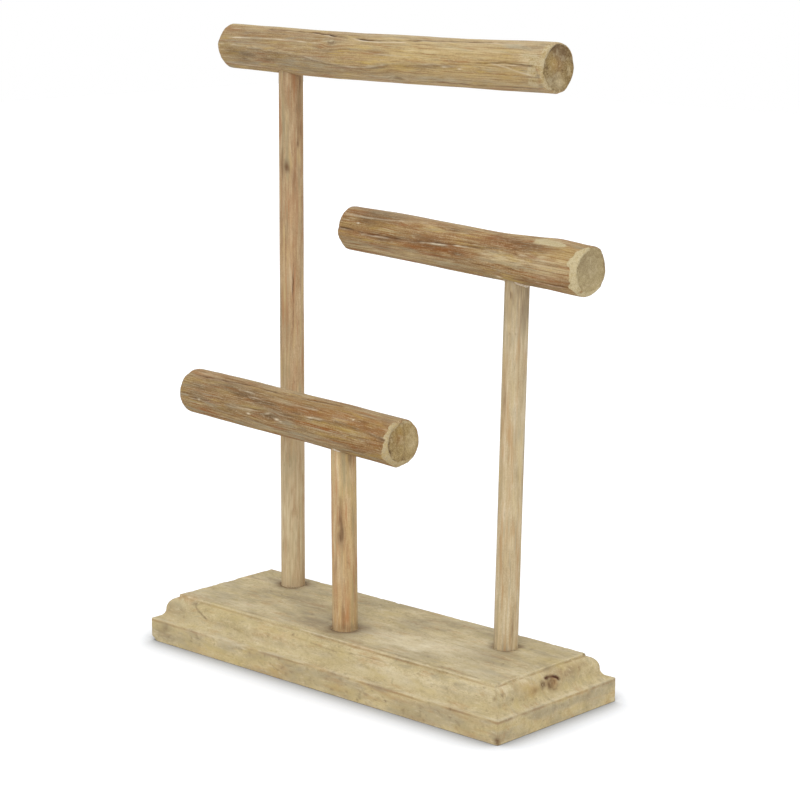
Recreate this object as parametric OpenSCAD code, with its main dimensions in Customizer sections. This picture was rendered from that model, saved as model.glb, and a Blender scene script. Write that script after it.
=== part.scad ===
// Jewelry holder: a routed wooden base board, three dowel posts of different heights,
// and a peeled branch length across the top of each post as a hanging bar.
// Millimetres. +Z is up, X runs along the base, +Y is the back.
// The origin is the middle of the base's underside.

/* [Base board] */
// Length of the base board
base_l = 241.5; // [220:0.5:320]
// Depth of the base board, front to back
base_w = 89.6; // [84:0.2:140]
// Thickness of the base board
base_t = 25; // [22:0.5:36]
// Radius of the hollow at the foot of the moulded edge
cove_r = 5; // [3:0.1:6]
// Radius of the round above the hollow
ovolo_r = 6.3; // [4:0.1:7]
// Height of the small upright step between the round and the table
quirk_h = 1.5; // [0.8:0.1:2.5]
// Distance from the base's edge in to that step
quirk_in = 10.8; // [9:0.1:12]
// Radius of the base's upright corners
corner_r = 0.9; // [0.7:0.1:6]
// Radius that softens the base's long edges
edge_r = 0.6; // [0.3:0.05:1]
// Size of the worn lower corner at the front left
worn_corner = 2.6; // [1:0.1:5]
// Size of the small chip at the lower front right corner
chip = 1.3; // [0.6:0.1:3]

/* [Posts] */
// Diameter of the tall post, a half-inch dowel
tall_post_d = 12.5; // [9:0.1:16]
// Diameter of the middle post, sanded down a little
middle_post_d = 11.9; // [9:0.1:16]
// Diameter of the short post
short_post_d = 12; // [9:0.1:16]
// Depth of the posts' sockets in the base
base_socket = 12.7; // [8:0.1:18]
// Depth of the posts' sockets in the bars
bar_socket = 10; // [5:0.5:13]
// Glue gap around a post in its socket
glue_gap = 0.15; // [0.05:0.05:0.4]
// Chamfer on the ends of the dowels
dowel_chamfer = 0.8; // [0.3:0.1:1.5]
// Tall post: distance of its centre from the base's left end
tall_in_x = 40.9; // [35:0.1:60]
// Tall post: distance of its centre from the base's back edge
tall_in_y = 23.9; // [20:0.1:40]
// Tall post: lean to the right, in degrees
tall_lean = 0; // [-2:0.1:2]
// Middle post: distance of its centre from the base's right end
middle_in_x = 45.1; // [32:0.1:60]
// Middle post: distance of its centre from the base's back edge
middle_in_y = 31.1; // [24:0.1:40]
// Middle post: lean to the right, in degrees
middle_lean = 1.3; // [-2:0.1:2]
// Short post: distance of its centre to the right of the base's centre
short_off_x = -3.3; // [-12:0.1:12]
// Short post: distance of its centre from the base's front edge
short_in_y = 26.8; // [24:0.1:36]
// Short post: lean to the right, in degrees
short_lean = -1; // [-2:0.1:2]

/* [Top bar] */
// Height of the top bar's heart above the ground, over its post
top_h = 309; // [270:0.2:380]
// Mean diameter of the top bar
top_d = 23.5; // [20:0.1:32]
// Reach of the top bar to the left of its post
top_left = 43.8; // [25:0.2:70]
// Reach of the top bar to the right of its post
top_right = 178.2; // [120:0.2:220]
// Dip of the top bar's right end, in degrees
top_dip = 0.2; // [-4:0.1:4]
// Turn of the top bar in plan, in degrees
top_turn = -1; // [-6:0.5:6]

/* [Middle bar] */
// Height of the middle bar's heart above the ground, over its post
middle_h = 218.2; // [180:0.2:255]
// Mean diameter of the middle bar
middle_d = 23.2; // [20:0.1:32]
// Reach of the middle bar to the left of its post
middle_left = 108.4; // [70:0.2:120]
// Reach of the middle bar to the right of its post
middle_right = 43.7; // [25:0.2:70]
// Dip of the middle bar's right end, in degrees
middle_dip = 2.2; // [-4:0.1:4]
// Turn of the middle bar in plan, in degrees
middle_turn = 0; // [-5:0.5:5]

/* [Lower bar] */
// Height of the lower bar's heart above the ground, over its post
lower_h = 128.3; // [90:0.2:165]
// Mean diameter of the lower bar
lower_d = 23.8; // [20:0.1:32]
// Reach of the lower bar to the left of its post
lower_left = 113.4; // [70:0.2:140]
// Reach of the lower bar to the right of its post
lower_right = 40.9; // [25:0.2:70]
// Dip of the lower bar's right end, in degrees
lower_dip = 1.75; // [-4:0.05:4]
// Turn of the lower bar in plan, in degrees
lower_turn = -2; // [-4:0.5:4]

/* [Branch surface] */
// Facets around each branch
bar_sides = 56; // [24:4:60]
// Rings along each branch
bar_rings = 29; // [16:1:31]
// Depth of the knife flats left by peeling, as a share of the radius
flats = 0.012; // [0:0.002:0.03]
// Number of knife flats around a branch
flat_count = 5; // [3:1:9]
// Height of the tallest long ridges
ridge_h = 0.6; // [0:0.1:1]
// Width of the knife-cut lip around an end, where it is narrowest
lip_min = 0.6; // [0.4:0.1:2]
// Width of the lip around a right end, on the side where it is widest
lip_max = 3.2; // [2:0.1:4]
// Width of the lip around a left end, on the side where it is widest
left_lip_max = 2.4; // [1.6:0.1:4]

/* [Hidden] */
$fn = 96;
slack = 1;
// Depth of an end's lip as a share of its width, the spread of its wide side in degrees, and
// how much of each end is kept free of rings for it.
lip_depth = 0.8;
lip_spread = 55;
lip_room = 1.8;
// How far a branch is from round, how its knife flats twist along it in degrees, how a ridge
// fades at its ends as a share of the bar, and how much longer than wide a knot is.
oval = 0.008;
oval_turn = 60;
flat_twist = 140;
ridge_fade = 0.06;
knot_stretch = 1.6;
plinth_h = base_t - quirk_h - ovolo_r - cove_r;
cove_in = edge_r + cove_r;

// Each stand is a post's foot [x, y], its lean and diameter, then its bar's height and diameter.
tall_stand = [
    tall_in_x - base_l / 2, base_w / 2 - tall_in_y, tall_lean, tall_post_d, top_h, top_d
];
middle_stand = [
    base_l / 2 - middle_in_x, base_w / 2 - middle_in_y, middle_lean, middle_post_d, middle_h, middle_d
];
short_stand = [
    short_off_x, short_in_y - base_w / 2, short_lean, short_post_d, lower_h, lower_d
];

// How each branch wanders. A row is the place along it (0 at its left end, 1 at its right), the
// drift of its heart to the back and upward as shares of its diameter, and its girth against
// the mean.
top_form = [
    [0, 0.026, 0.038, 0.975], [0.12, 0.009, 0.017, 0.995], [0.3, -0.021, -0.009, 1],
    [0.45, -0.038, -0.009, 1], [0.55, -0.034, -0.004, 1.01], [0.75, 0, 0, 0.995],
    [0.9, 0.026, 0.013, 1.02], [1, 0.034, 0.026, 1.015]
];
middle_form = [
    [0, -0.034, 0.034, 0.96], [0.2, 0, 0.034, 0.98], [0.45, 0.034, 0.004, 0.98],
    [0.62, 0.026, -0.009, 0.97], [0.75, 0.004, 0.004, 1.01], [0.87, -0.009, 0.026, 1.07],
    [1, -0.017, -0.013, 1.04]
];
lower_form = [
    [0, 0.038, -0.038, 0.985], [0.2, 0.013, -0.017, 0.995], [0.45, -0.021, -0.004, 1],
    [0.6, -0.025, 0, 0.99], [0.75, -0.008, -0.004, 1.015], [0.87, 0.008, -0.02, 1.015],
    [1, 0.025, -0.034, 1.015]
];

// Long ridges and grooves of the peeled wood. Each has its height as a share of ridge_h, its
// half width in degrees, and the places and angles that it runs through (0 front, 90 top).
top_ridges = [
    [1, 9, [
        [0, 10], [0.11, 7], [0.29, -6], [0.42, -21], [0.48, -22],
        [0.6, -6], [0.76, -3], [0.88, 9], [1, 9]
    ]],
    [-0.8, 7, [[0.16, 66], [0.31, 62], [0.41, 49], [0.54, 45], [0.65, 56], [0.88, 67]]],
    [0.6, 9, [[0.3, 50], [0.42, 38], [0.54, 34], [0.7, 44]]],
    [0.6, 9, [[0.45, -54], [0.75, -58], [1, -48]]],
    [0.9, 10, [[0, 140], [0.3, 148], [0.6, 132], [1, 150]]],
    [-0.8, 8, [[0.1, 190], [0.5, 204], [0.9, 196]]],
    [0.8, 10, [[0, 232], [0.5, 246], [1, 240]]]
];
middle_ridges = [
    [-0.9, 7, [[0, 8], [0.19, 5], [0.32, 6], [0.53, 18], [0.68, 27], [0.88, 33]]],
    [0.7, 8, [[0, -8], [0.32, -9], [0.53, 2], [0.75, 22], [0.85, 18], [0.92, 14], [1, 24]]],
    [0.6, 9, [[0, 44], [0.12, 43], [0.26, 50], [0.36, 62]]],
    [0.8, 9, [[0.7, -44], [0.85, -38], [1, -31]]],
    [-0.7, 8, [[0.76, -24], [0.9, -20], [1, -16]]],
    [0.8, 10, [[0, 128], [0.4, 138], [1, 126]]],
    [-0.8, 8, [[0.1, 170], [0.5, 182], [0.95, 176]]],
    [0.8, 10, [[0, 226], [0.5, 214], [1, 228]]]
];
lower_ridges = [
    [-0.9, 7, [[0.04, 62], [0.22, 66], [0.35, 68], [0.48, 66], [0.61, 72], [0.74, 80]]],
    [1, 8, [[0.48, 16], [0.67, 22], [0.79, 31], [0.9, 25], [1, 17]]],
    [0.6, 8, [[0.09, -3], [0.22, 3], [0.35, 8], [0.48, 12]]],
    [-0.9, 7, [[0.44, -52], [0.61, -42], [0.74, -32], [0.81, -33], [0.93, -55]]],
    [0.7, 10, [[0, 44], [0.3, 48], [0.6, 50], [1, 58]]],
    [0.8, 10, [[0, 146], [0.5, 134], [1, 150]]],
    [-0.8, 8, [[0.08, 196], [0.5, 186], [0.92, 200]]],
    [0.8, 10, [[0, 240], [0.45, 254], [1, 236]]]
];

// Knots and knife nicks: place along the bar, angle, and their size across and height as shares
// of the bar's diameter.
top_knots = [[0.58, -50, 0.3, -0.021], [0.38, 32, 0.3, 0.015], [0.5, 170, 0.38, 0.021]];
middle_knots = [[0.86, 62, 0.69, -0.019], [0.52, -4, 0.26, -0.013], [0.4, 200, 0.34, 0.021]];
lower_knots = [[0.5, -3, 0.34, -0.021], [0.1, -4, 0.34, -0.013], [0.7, 170, 0.34, 0.021]];

// Slope of column c of a table at its row i, for the curve that runs through its rows.
function slope(rows, i, c) =
    let (a = max(i - 1, 0), b = min(i + 1, len(rows) - 1))
    (rows[b][c] - rows[a][c]) / (rows[b][0] - rows[a][0]);

// Column c of a table at place t, on a smooth curve through its rows.
function along(rows, t, c) =
    let (
        k = max([0, for (i = [1:len(rows) - 2]) if (t >= rows[i][0]) i]),
        span = rows[k + 1][0] - rows[k][0],
        u = (t - rows[k][0]) / span
    )
    rows[k][c] * (2 * u ^ 3 - 3 * u ^ 2 + 1)
    + rows[k + 1][c] * (3 * u ^ 2 - 2 * u ^ 3)
    + slope(rows, k, c) * span * (u ^ 3 - 2 * u ^ 2 + u)
    + slope(rows, k + 1, c) * span * (u ^ 3 - u ^ 2);

// An angle brought to between -180 and 180 degrees.
function turned(a) = (a + 900) % 360 - 180;

// A smooth hump of height 1 at x = 0 that dies away beyond x = 1.
function hump(x) = exp(-x * x);

// Height that a ridge adds at place t and angle a. It fades in and out at its two ends.
function ridge_at(ridge, t, a) =
    let (path = ridge[2], first = path[0][0], last = path[len(path) - 1][0])
    t < first - ridge_fade || t > last + ridge_fade ? 0 :
    let (
        inside = min(t - first, last - t) / ridge_fade,
        strength = min(1, max(0, 0.5 + inside / 2)),
        off = turned(a - along(path, min(max(t, first), last), 1))
    )
    ridge_h * ridge[0] * strength * hump(off / ridge[1]);

// Height that a knot adds at place t and angle a, on a bar of length l and diameter d.
function knot_at(knot, t, a, l, d) =
    let (
        dx = (t - knot[0]) * l / (knot[2] * d / 2),
        dy = turned(a - knot[1]) * PI / 180 / knot[2]
    )
    knot[3] * d * hump(dx / knot_stretch) * hump(dy);

function total(values) = [for (v = values) 1] * values;

// Radius of a branch at place t and angle a.
function bark_r(form, ridges, knots, l, d, t, a) =
    let (r = d / 2 * along(form, t, 3))
    r * (1 + flats * cos(flat_count * a + flat_twist * t) + oval * cos(2 * a - oval_turn))
    + total([for (ridge = ridges) ridge_at(ridge, t, a)])
    + total([for (knot = knots) knot_at(knot, t, a, l, d)]);

// Width of the knife-cut lip at angle a. It is "widest" at the angle "side".
function lip(a, side, widest) = lip_min + (widest - lip_min) * hump(turned(a - side) / lip_spread);

// A branch length along X, from -left to right, whose heart passes through the origin.
// Rings of points run along it, and each end has a lip that narrows to the sawn face. "lip_sides"
// gives the angle at which the lip is widest, at the left end and at the right end.
module branch(left, right, d, form, ridges, knots, lip_sides) {
    l = left + right;
    inner = max(lip_max, left_lip_max) * lip_room;
    t0 = left / l;
    places = [for (k = [0:bar_rings]) inner + (l - 2 * inner) * k / bar_rings];
    function point(x, a, r) =
        let (t = x / l)
        [
            x - left,
            d * (along(form, t, 1) - along(form, t0, 1)) - r * cos(a),
            d * (along(form, t, 2) - along(form, t0, 2)) + r * sin(a)
        ];
    function ring(x, shift, cut, side = 0, widest = 0) = [
        for (i = [0:bar_sides - 1])
            let (
                a = 360 * i / bar_sides,
                w = lip(a, side, widest),
                r = bark_r(form, ridges, knots, l, d, x / l, a)
            )
            point(x + shift * w, a, r - cut * w)
    ];
    rings = concat(
        [ring(0, 0, lip_depth, lip_sides[0], left_lip_max)],
        [ring(0, 1, 0, lip_sides[0], left_lip_max)],
        [for (x = places) ring(x, 0, 0)],
        [ring(l, -1, 0, lip_sides[1], lip_max)],
        [ring(l, 0, lip_depth, lip_sides[1], lip_max)]
    );
    last = len(rings) - 1;
    sides = [
        for (k = [0:last - 1])
            for (i = [0:bar_sides - 1])
                let (
                    j = (i + 1) % bar_sides,
                    p = k * bar_sides,
                    q = p + bar_sides
                )
                each [[p + i, p + j, q + j], [p + i, q + j, q + i]]
    ];
    left_face = [for (i = [bar_sides - 1:-1:0]) i];
    right_face = [for (i = [0:bar_sides - 1]) last * bar_sides + i];
    polyhedron([for (r = rings) each r], concat([left_face], sides, [right_face]));
}

// What a stand says of its post and its bar.
function lean(stand) = stand[2];
function dowel_d(stand) = stand[3];
function bar_h(stand) = stand[4];
function bar_d(stand) = stand[5];

// Height of a bar's heart, and of the blind end of its socket, in its post's frame.
function heart_z(stand) = (bar_h(stand) - base_t) / cos(lean(stand));
function seat_z(stand) = heart_z(stand) - bar_d(stand) / 2 + bar_socket;

// Diameter of the sockets that a post is glued in.
function seat_d(stand) = dowel_d(stand) + 2 * glue_gap;

// Puts its children in a post's own frame: foot at the table, along the leaning dowel.
module on_stand(stand) {
    translate([stand.x, stand.y, base_t])
        rotate([0, lean(stand), 0])
            children();
}

// A dowel from the floor of its socket in the base to the end of its socket in the bar.
module dowel(stand) {
    l = base_socket + seat_z(stand);
    r = dowel_d(stand) / 2;
    on_stand(stand) translate([0, 0, -base_socket]) {
        cylinder(h = dowel_chamfer, r1 = r - dowel_chamfer, r2 = r);
        translate([0, 0, dowel_chamfer]) cylinder(h = l - 2 * dowel_chamfer, r = r);
        translate([0, 0, l - dowel_chamfer])
            cylinder(h = dowel_chamfer, r1 = r, r2 = r - dowel_chamfer);
    }
}

// A branch set across the top of its post, with the blind socket that the post fills.
module bar(stand, left, right, dip, turn, form, ridges, knots, lip_sides) {
    difference() {
        on_stand(stand)
            translate([0, 0, heart_z(stand)])
                rotate([0, -lean(stand), 0])
                    rotate([0, dip, turn])
                        branch(left, right, bar_d(stand), form, ridges, knots, lip_sides);
        on_stand(stand)
            translate([0, 0, seat_z(stand) - bar_d(stand)])
                cylinder(h = bar_d(stand), d = seat_d(stand));
    }
}

// Cross-section of the base for a side of length w: plinth, cove, ovolo, quirk and table.
module moulded_section(w) {
    half = w / 2;
    translate([-half, edge_r]) square([w, plinth_h - 2 * edge_r]);
    translate([-half + edge_r, 0]) square([w - 2 * edge_r, plinth_h]);
    for (x = [-1, 1], z = [edge_r, plinth_h - edge_r])
        translate([x * (half - edge_r), z]) circle(r = edge_r);
    difference() {
        translate([-half + edge_r, 0]) square([w - 2 * edge_r, plinth_h + cove_r]);
        for (x = [-1, 1])
            translate([x * (half - edge_r), plinth_h + cove_r]) circle(r = cove_r);
    }
    intersection() {
        translate([-half, plinth_h]) square([w, cove_r + ovolo_r]);
        union() {
            for (x = [-1, 1])
                translate([x * (half - cove_in - ovolo_r), plinth_h + cove_r]) circle(r = ovolo_r);
            translate([-half + cove_in + ovolo_r, 0])
                square([w - 2 * (cove_in + ovolo_r), base_t]);
        }
    }
    translate([-half + quirk_in, 0]) square([w - 2 * quirk_in, base_t - edge_r]);
    translate([-half + quirk_in + edge_r, 0]) square([w - 2 * (quirk_in + edge_r), base_t]);
    for (x = [-1, 1])
        translate([x * (half - quirk_in - edge_r), base_t - edge_r]) circle(r = edge_r);
}

// Plan of the board with its upright corners rounded.
module board_plan() {
    square([base_l - 2 * corner_r, base_w], center = true);
    square([base_l, base_w - 2 * corner_r], center = true);
    for (x = [-1, 1], y = [-1, 1])
        translate([x * (base_l / 2 - corner_r), y * (base_w / 2 - corner_r)]) circle(r = corner_r);
}

// What wear has taken off a lower corner: all that lies outside a face that slopes across it
// and meets the upright corner at height "size".
module corner_loss(x, y, size) {
    block = size * 8;
    translate([x * base_l / 2, y * base_w / 2, 0])
        rotate([0, 0, atan2(y, x)])
            rotate([0, 45, 0])
                translate([block / 2 - size / sqrt(2), 0, 0]) cube(block, center = true);
}

module base_board() {
    color([0.80, 0.72, 0.56])
        difference() {
            intersection() {
                rotate([90, 0, 0])
                    linear_extrude(base_w, center = true) moulded_section(base_l);
                rotate([90, 0, 90])
                    linear_extrude(base_l, center = true) moulded_section(base_w);
                linear_extrude(base_t) board_plan();
            }
            for (stand = [tall_stand, middle_stand, short_stand])
                on_stand(stand)
                    translate([0, 0, -base_socket])
                        cylinder(h = base_socket + slack, d = seat_d(stand));
            corner_loss(-1, -1, worn_corner);
            corner_loss(1, -1, chip);
        }
}

module tall_post() {
    color([0.76, 0.60, 0.44]) dowel(tall_stand);
}

module middle_post() {
    color([0.78, 0.65, 0.47]) dowel(middle_stand);
}

module short_post() {
    color([0.76, 0.62, 0.44]) dowel(short_stand);
}

module top_bar() {
    color([0.72, 0.58, 0.38])
        bar(
            tall_stand, top_left, top_right, top_dip, top_turn,
            top_form, top_ridges, top_knots, [-80, 0]
        );
}

module middle_bar() {
    color([0.70, 0.54, 0.36])
        bar(
            middle_stand, middle_left, middle_right, middle_dip, middle_turn,
            middle_form, middle_ridges, middle_knots, [50, 20]
        );
}

module lower_bar() {
    color([0.66, 0.49, 0.33])
        bar(
            short_stand, lower_left, lower_right, lower_dip, lower_turn,
            lower_form, lower_ridges, lower_knots, [150, -20]
        );
}

base_board();
tall_post();
middle_post();
short_post();
top_bar();
middle_bar();
lower_bar();
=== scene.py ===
# Looks of the jewelry holder: every wooden piece is rebuilt as a finely shaped surface that
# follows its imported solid, and gets its own wood. Lengths in this script are millimetres, and
# become metres where a mesh is made. Only the floor's size and the distances of the bump and
# the contact shadow are written in metres. Angles are degrees, apart from those in radians().
import itertools
import math

import bpy
import numpy as np
from mathutils import Matrix, Vector
from mathutils.bvhtree import BVHTree


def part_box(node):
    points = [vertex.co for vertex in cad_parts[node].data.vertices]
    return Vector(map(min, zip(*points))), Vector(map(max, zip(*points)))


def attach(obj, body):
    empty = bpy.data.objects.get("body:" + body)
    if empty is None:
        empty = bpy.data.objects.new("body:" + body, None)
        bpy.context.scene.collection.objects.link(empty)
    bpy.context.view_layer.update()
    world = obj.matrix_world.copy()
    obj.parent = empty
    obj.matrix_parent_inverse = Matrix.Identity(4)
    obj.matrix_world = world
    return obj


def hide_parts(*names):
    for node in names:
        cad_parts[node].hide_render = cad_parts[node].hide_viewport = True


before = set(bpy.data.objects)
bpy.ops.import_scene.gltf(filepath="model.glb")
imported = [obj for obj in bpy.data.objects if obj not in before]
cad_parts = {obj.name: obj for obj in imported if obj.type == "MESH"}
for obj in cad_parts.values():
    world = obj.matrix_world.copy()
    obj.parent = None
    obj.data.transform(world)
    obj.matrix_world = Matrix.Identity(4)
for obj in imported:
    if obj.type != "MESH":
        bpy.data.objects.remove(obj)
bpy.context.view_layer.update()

MM = 0.001
PHOTO_PX = 800
SENSOR_MM = 36

# The camera, fitted to the base's corners and the posts' feet in the photograph: its direction
# seen from the object, its focal length in pixels, and where the object's origin lies before it.
CAMERA_AZIMUTH, CAMERA_ELEVATION, CAMERA_ROLL = 42.665, 11.604, 0.258
CAMERA_FOCAL_PX = 2399.139
CAMERA_RIGHT, CAMERA_UP, CAMERA_BACK = 13.034, 137.482, 1226.554

# The sizes of the moulded board, the sockets and the glue line, as the solids have them. Only
# the worn corner is cut a little deeper than the solid's.
EDGE_R = 0.6
COVE_R = 5.0
OVOLO_R = 6.3
QUIRK_H = 1.5
QUIRK_IN = 10.8
CORNER_R = 0.9
WORN_CORNER = 3.2
CHIP = 1.3
GLUE_GAP = 0.15
BASE_SOCKET = 12.7
BAR_SOCKET = 10.0


def tone(red, green, blue):
    """A colour written as it shows on screen, 0 to 255, in the linear form that nodes take."""
    shown = np.array([red, green, blue]) / 255
    linear = np.where(shown <= 0.04045, shown / 12.92, ((shown + 0.055) / 1.055) ** 2.4)
    return (*linear.tolist(), 1.0)


# Smooth noise and curves


def lattice(cell, seed):
    """A repeatable number from 0 to 1 for each whole-number cell."""
    word = 0xFFFFFFFF
    n = (cell[..., 0] * 73856093) ^ (cell[..., 1] * 19349663) ^ (cell[..., 2] * 83492791)
    n = (n ^ (seed * 2654435761)) & word
    n = ((n ^ (n >> 15)) * 0x2C1B3C6D) & word
    n = ((n ^ (n >> 12)) * 0x297A2D39) & word
    return (n ^ (n >> 15)) / word


def noise(points, size, seed, octaves=1):
    """Smooth noise, mostly from -1 to 1, with lumps of that size: a number, or one for each axis."""
    total = 0
    for octave in range(octaves):
        at = points / np.asarray(size) * 2**octave
        cell = np.floor(at).astype(np.int64)
        part = at - cell
        part = part * part * (3 - 2 * part)
        value = 0
        for corner in itertools.product((0, 1), repeat=3):
            weight = np.prod(np.where(corner, part, 1 - part), axis=-1)
            value = value + weight * lattice(cell + np.array(corner), seed + octave)
        total = total + (2 * value - 1) / 2**octave
    return total


def curve(rows, x):
    """The second numbers of the rows, at x, on a smooth curve through them."""
    places, values = np.array(rows, float).T
    slopes = np.gradient(values, places)
    x = np.clip(x, places[0], places[-1])
    k = np.clip(np.searchsorted(places, x, "right") - 1, 0, len(places) - 2)
    span = places[k + 1] - places[k]
    u = (x - places[k]) / span
    start = values[k] * (2 * u**3 - 3 * u**2 + 1) + slopes[k] * span * (u**3 - 2 * u**2 + u)
    return start + values[k + 1] * (3 * u**2 - 2 * u**3) + slopes[k + 1] * span * (u**3 - u**2)


def bell(x):
    """A hump of height 1 at 0 that dies away beyond 1."""
    return np.exp(-x * x)


def fade(x, low, high):
    """0 below low, 1 above high, and smooth between them."""
    u = np.clip((x - low) / (high - low), 0, 1)
    return u * u * (3 - 2 * u)


def turned(angle):
    """An angle brought to between -180 and 180."""
    return (angle + 180) % 360 - 180


def segment_distance(points, path):
    """How far each point is from a line through the path's points."""
    nearest = np.full(points.shape[:-1], np.inf)
    for a, b in zip(np.array(path[:-1], float), np.array(path[1:], float)):
        share = np.clip(((points - a) @ (b - a)) / ((b - a) @ (b - a)), 0, 1)
        nearest = np.minimum(nearest, np.linalg.norm(points - a - share[..., None] * (b - a), axis=-1))
    return nearest


def blurred(field, rows, columns):
    """A field smoothed by a bell curve that many rows and columns wide. Columns go round."""
    length, reach = len(field), 3 * rows
    down, across = range(-reach, reach + 1), range(-3 * columns, 3 * columns + 1)
    padded = np.pad(field, ((reach, reach), (0, 0)), mode="edge")
    field = sum(bell(k / rows) * padded[reach + k : reach + k + length] for k in down)
    field = sum(bell(k / columns) * np.roll(field, k, axis=1) for k in across)
    return field / sum(bell(k / rows) for k in down) / sum(bell(k / columns) for k in across)


# Materials


class Graph:
    """Adds nodes to a node tree and links them, so that a material reads as a list of steps."""

    def __init__(self, tree):
        self.tree = tree

    def add(self, kind, inputs=(), **settings):
        node = self.tree.nodes.new(kind)
        for key, value in settings.items():
            setattr(node, key, value)
        for key, value in dict(inputs).items():
            if isinstance(value, bpy.types.NodeSocket):
                self.tree.links.new(value, node.inputs[key])
            else:
                node.inputs[key].default_value = value
        return node

    def attribute(self, name):
        return self.add("ShaderNodeAttribute", attribute_name=name)

    def parts(self, name):
        split = self.add("ShaderNodeSeparateXYZ", {0: self.attribute(name).outputs["Vector"]})
        return split.outputs[0], split.outputs[1], split.outputs[2]

    def maths(self, operation, a, b=0.0):
        return self.add("ShaderNodeMath", {0: a, 1: b}, operation=operation).outputs[0]

    def weigh(self, shares):
        """The mean of some values, each with its share."""
        shares = [(value, share) for value, share in shares if share]
        whole = sum(share for _, share in shares)
        total = 0.0
        for value, share in shares:
            inputs = {0: value, 1: share / whole, 2: total}
            total = self.add("ShaderNodeMath", inputs, operation="MULTIPLY_ADD").outputs[0]
        return total

    def span(self, value, low, high, to_low=0.0, to_high=1.0):
        inputs = {"Value": value, "From Min": low, "From Max": high, "To Min": to_low, "To Max": to_high}
        return self.add("ShaderNodeMapRange", inputs).outputs["Result"]

    def noise(self, vector, along, across, shift=0.0, detail=3.0, roughness=0.6, distortion=0.0):
        """Noise with lumps that long and that wide, in the wood's own directions."""
        inputs = {0: vector, 1: (1 / along, 1 / across, 1 / across), 2: (shift, shift, shift)}
        at = self.add("ShaderNodeVectorMath", inputs, operation="MULTIPLY_ADD").outputs[0]
        inputs = {"Vector": at, "Scale": 1.0, "Detail": detail, "Roughness": roughness}
        inputs["Distortion"] = distortion
        return self.add("ShaderNodeTexNoise", inputs, noise_dimensions="3D").outputs["Fac"]

    def mix(self, a, b, factor):
        return self.add("ShaderNodeMix", {0: factor, 6: a, 7: b}, data_type="RGBA").outputs[2]

    def ramp(self, value, stops):
        node = self.add("ShaderNodeValToRGB", {0: value})
        elements = node.color_ramp.elements
        while len(elements) < len(stops):
            elements.new(0.5)
        for element, (place, colour) in zip(elements, stops):
            element.position = place
            element.color = colour
        return node.outputs["Color"]


def blank_material(name):
    """A new material and its node graph."""
    material = bpy.data.materials.new(name)
    material.use_nodes = True
    return material, Graph(material.node_tree)


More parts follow.
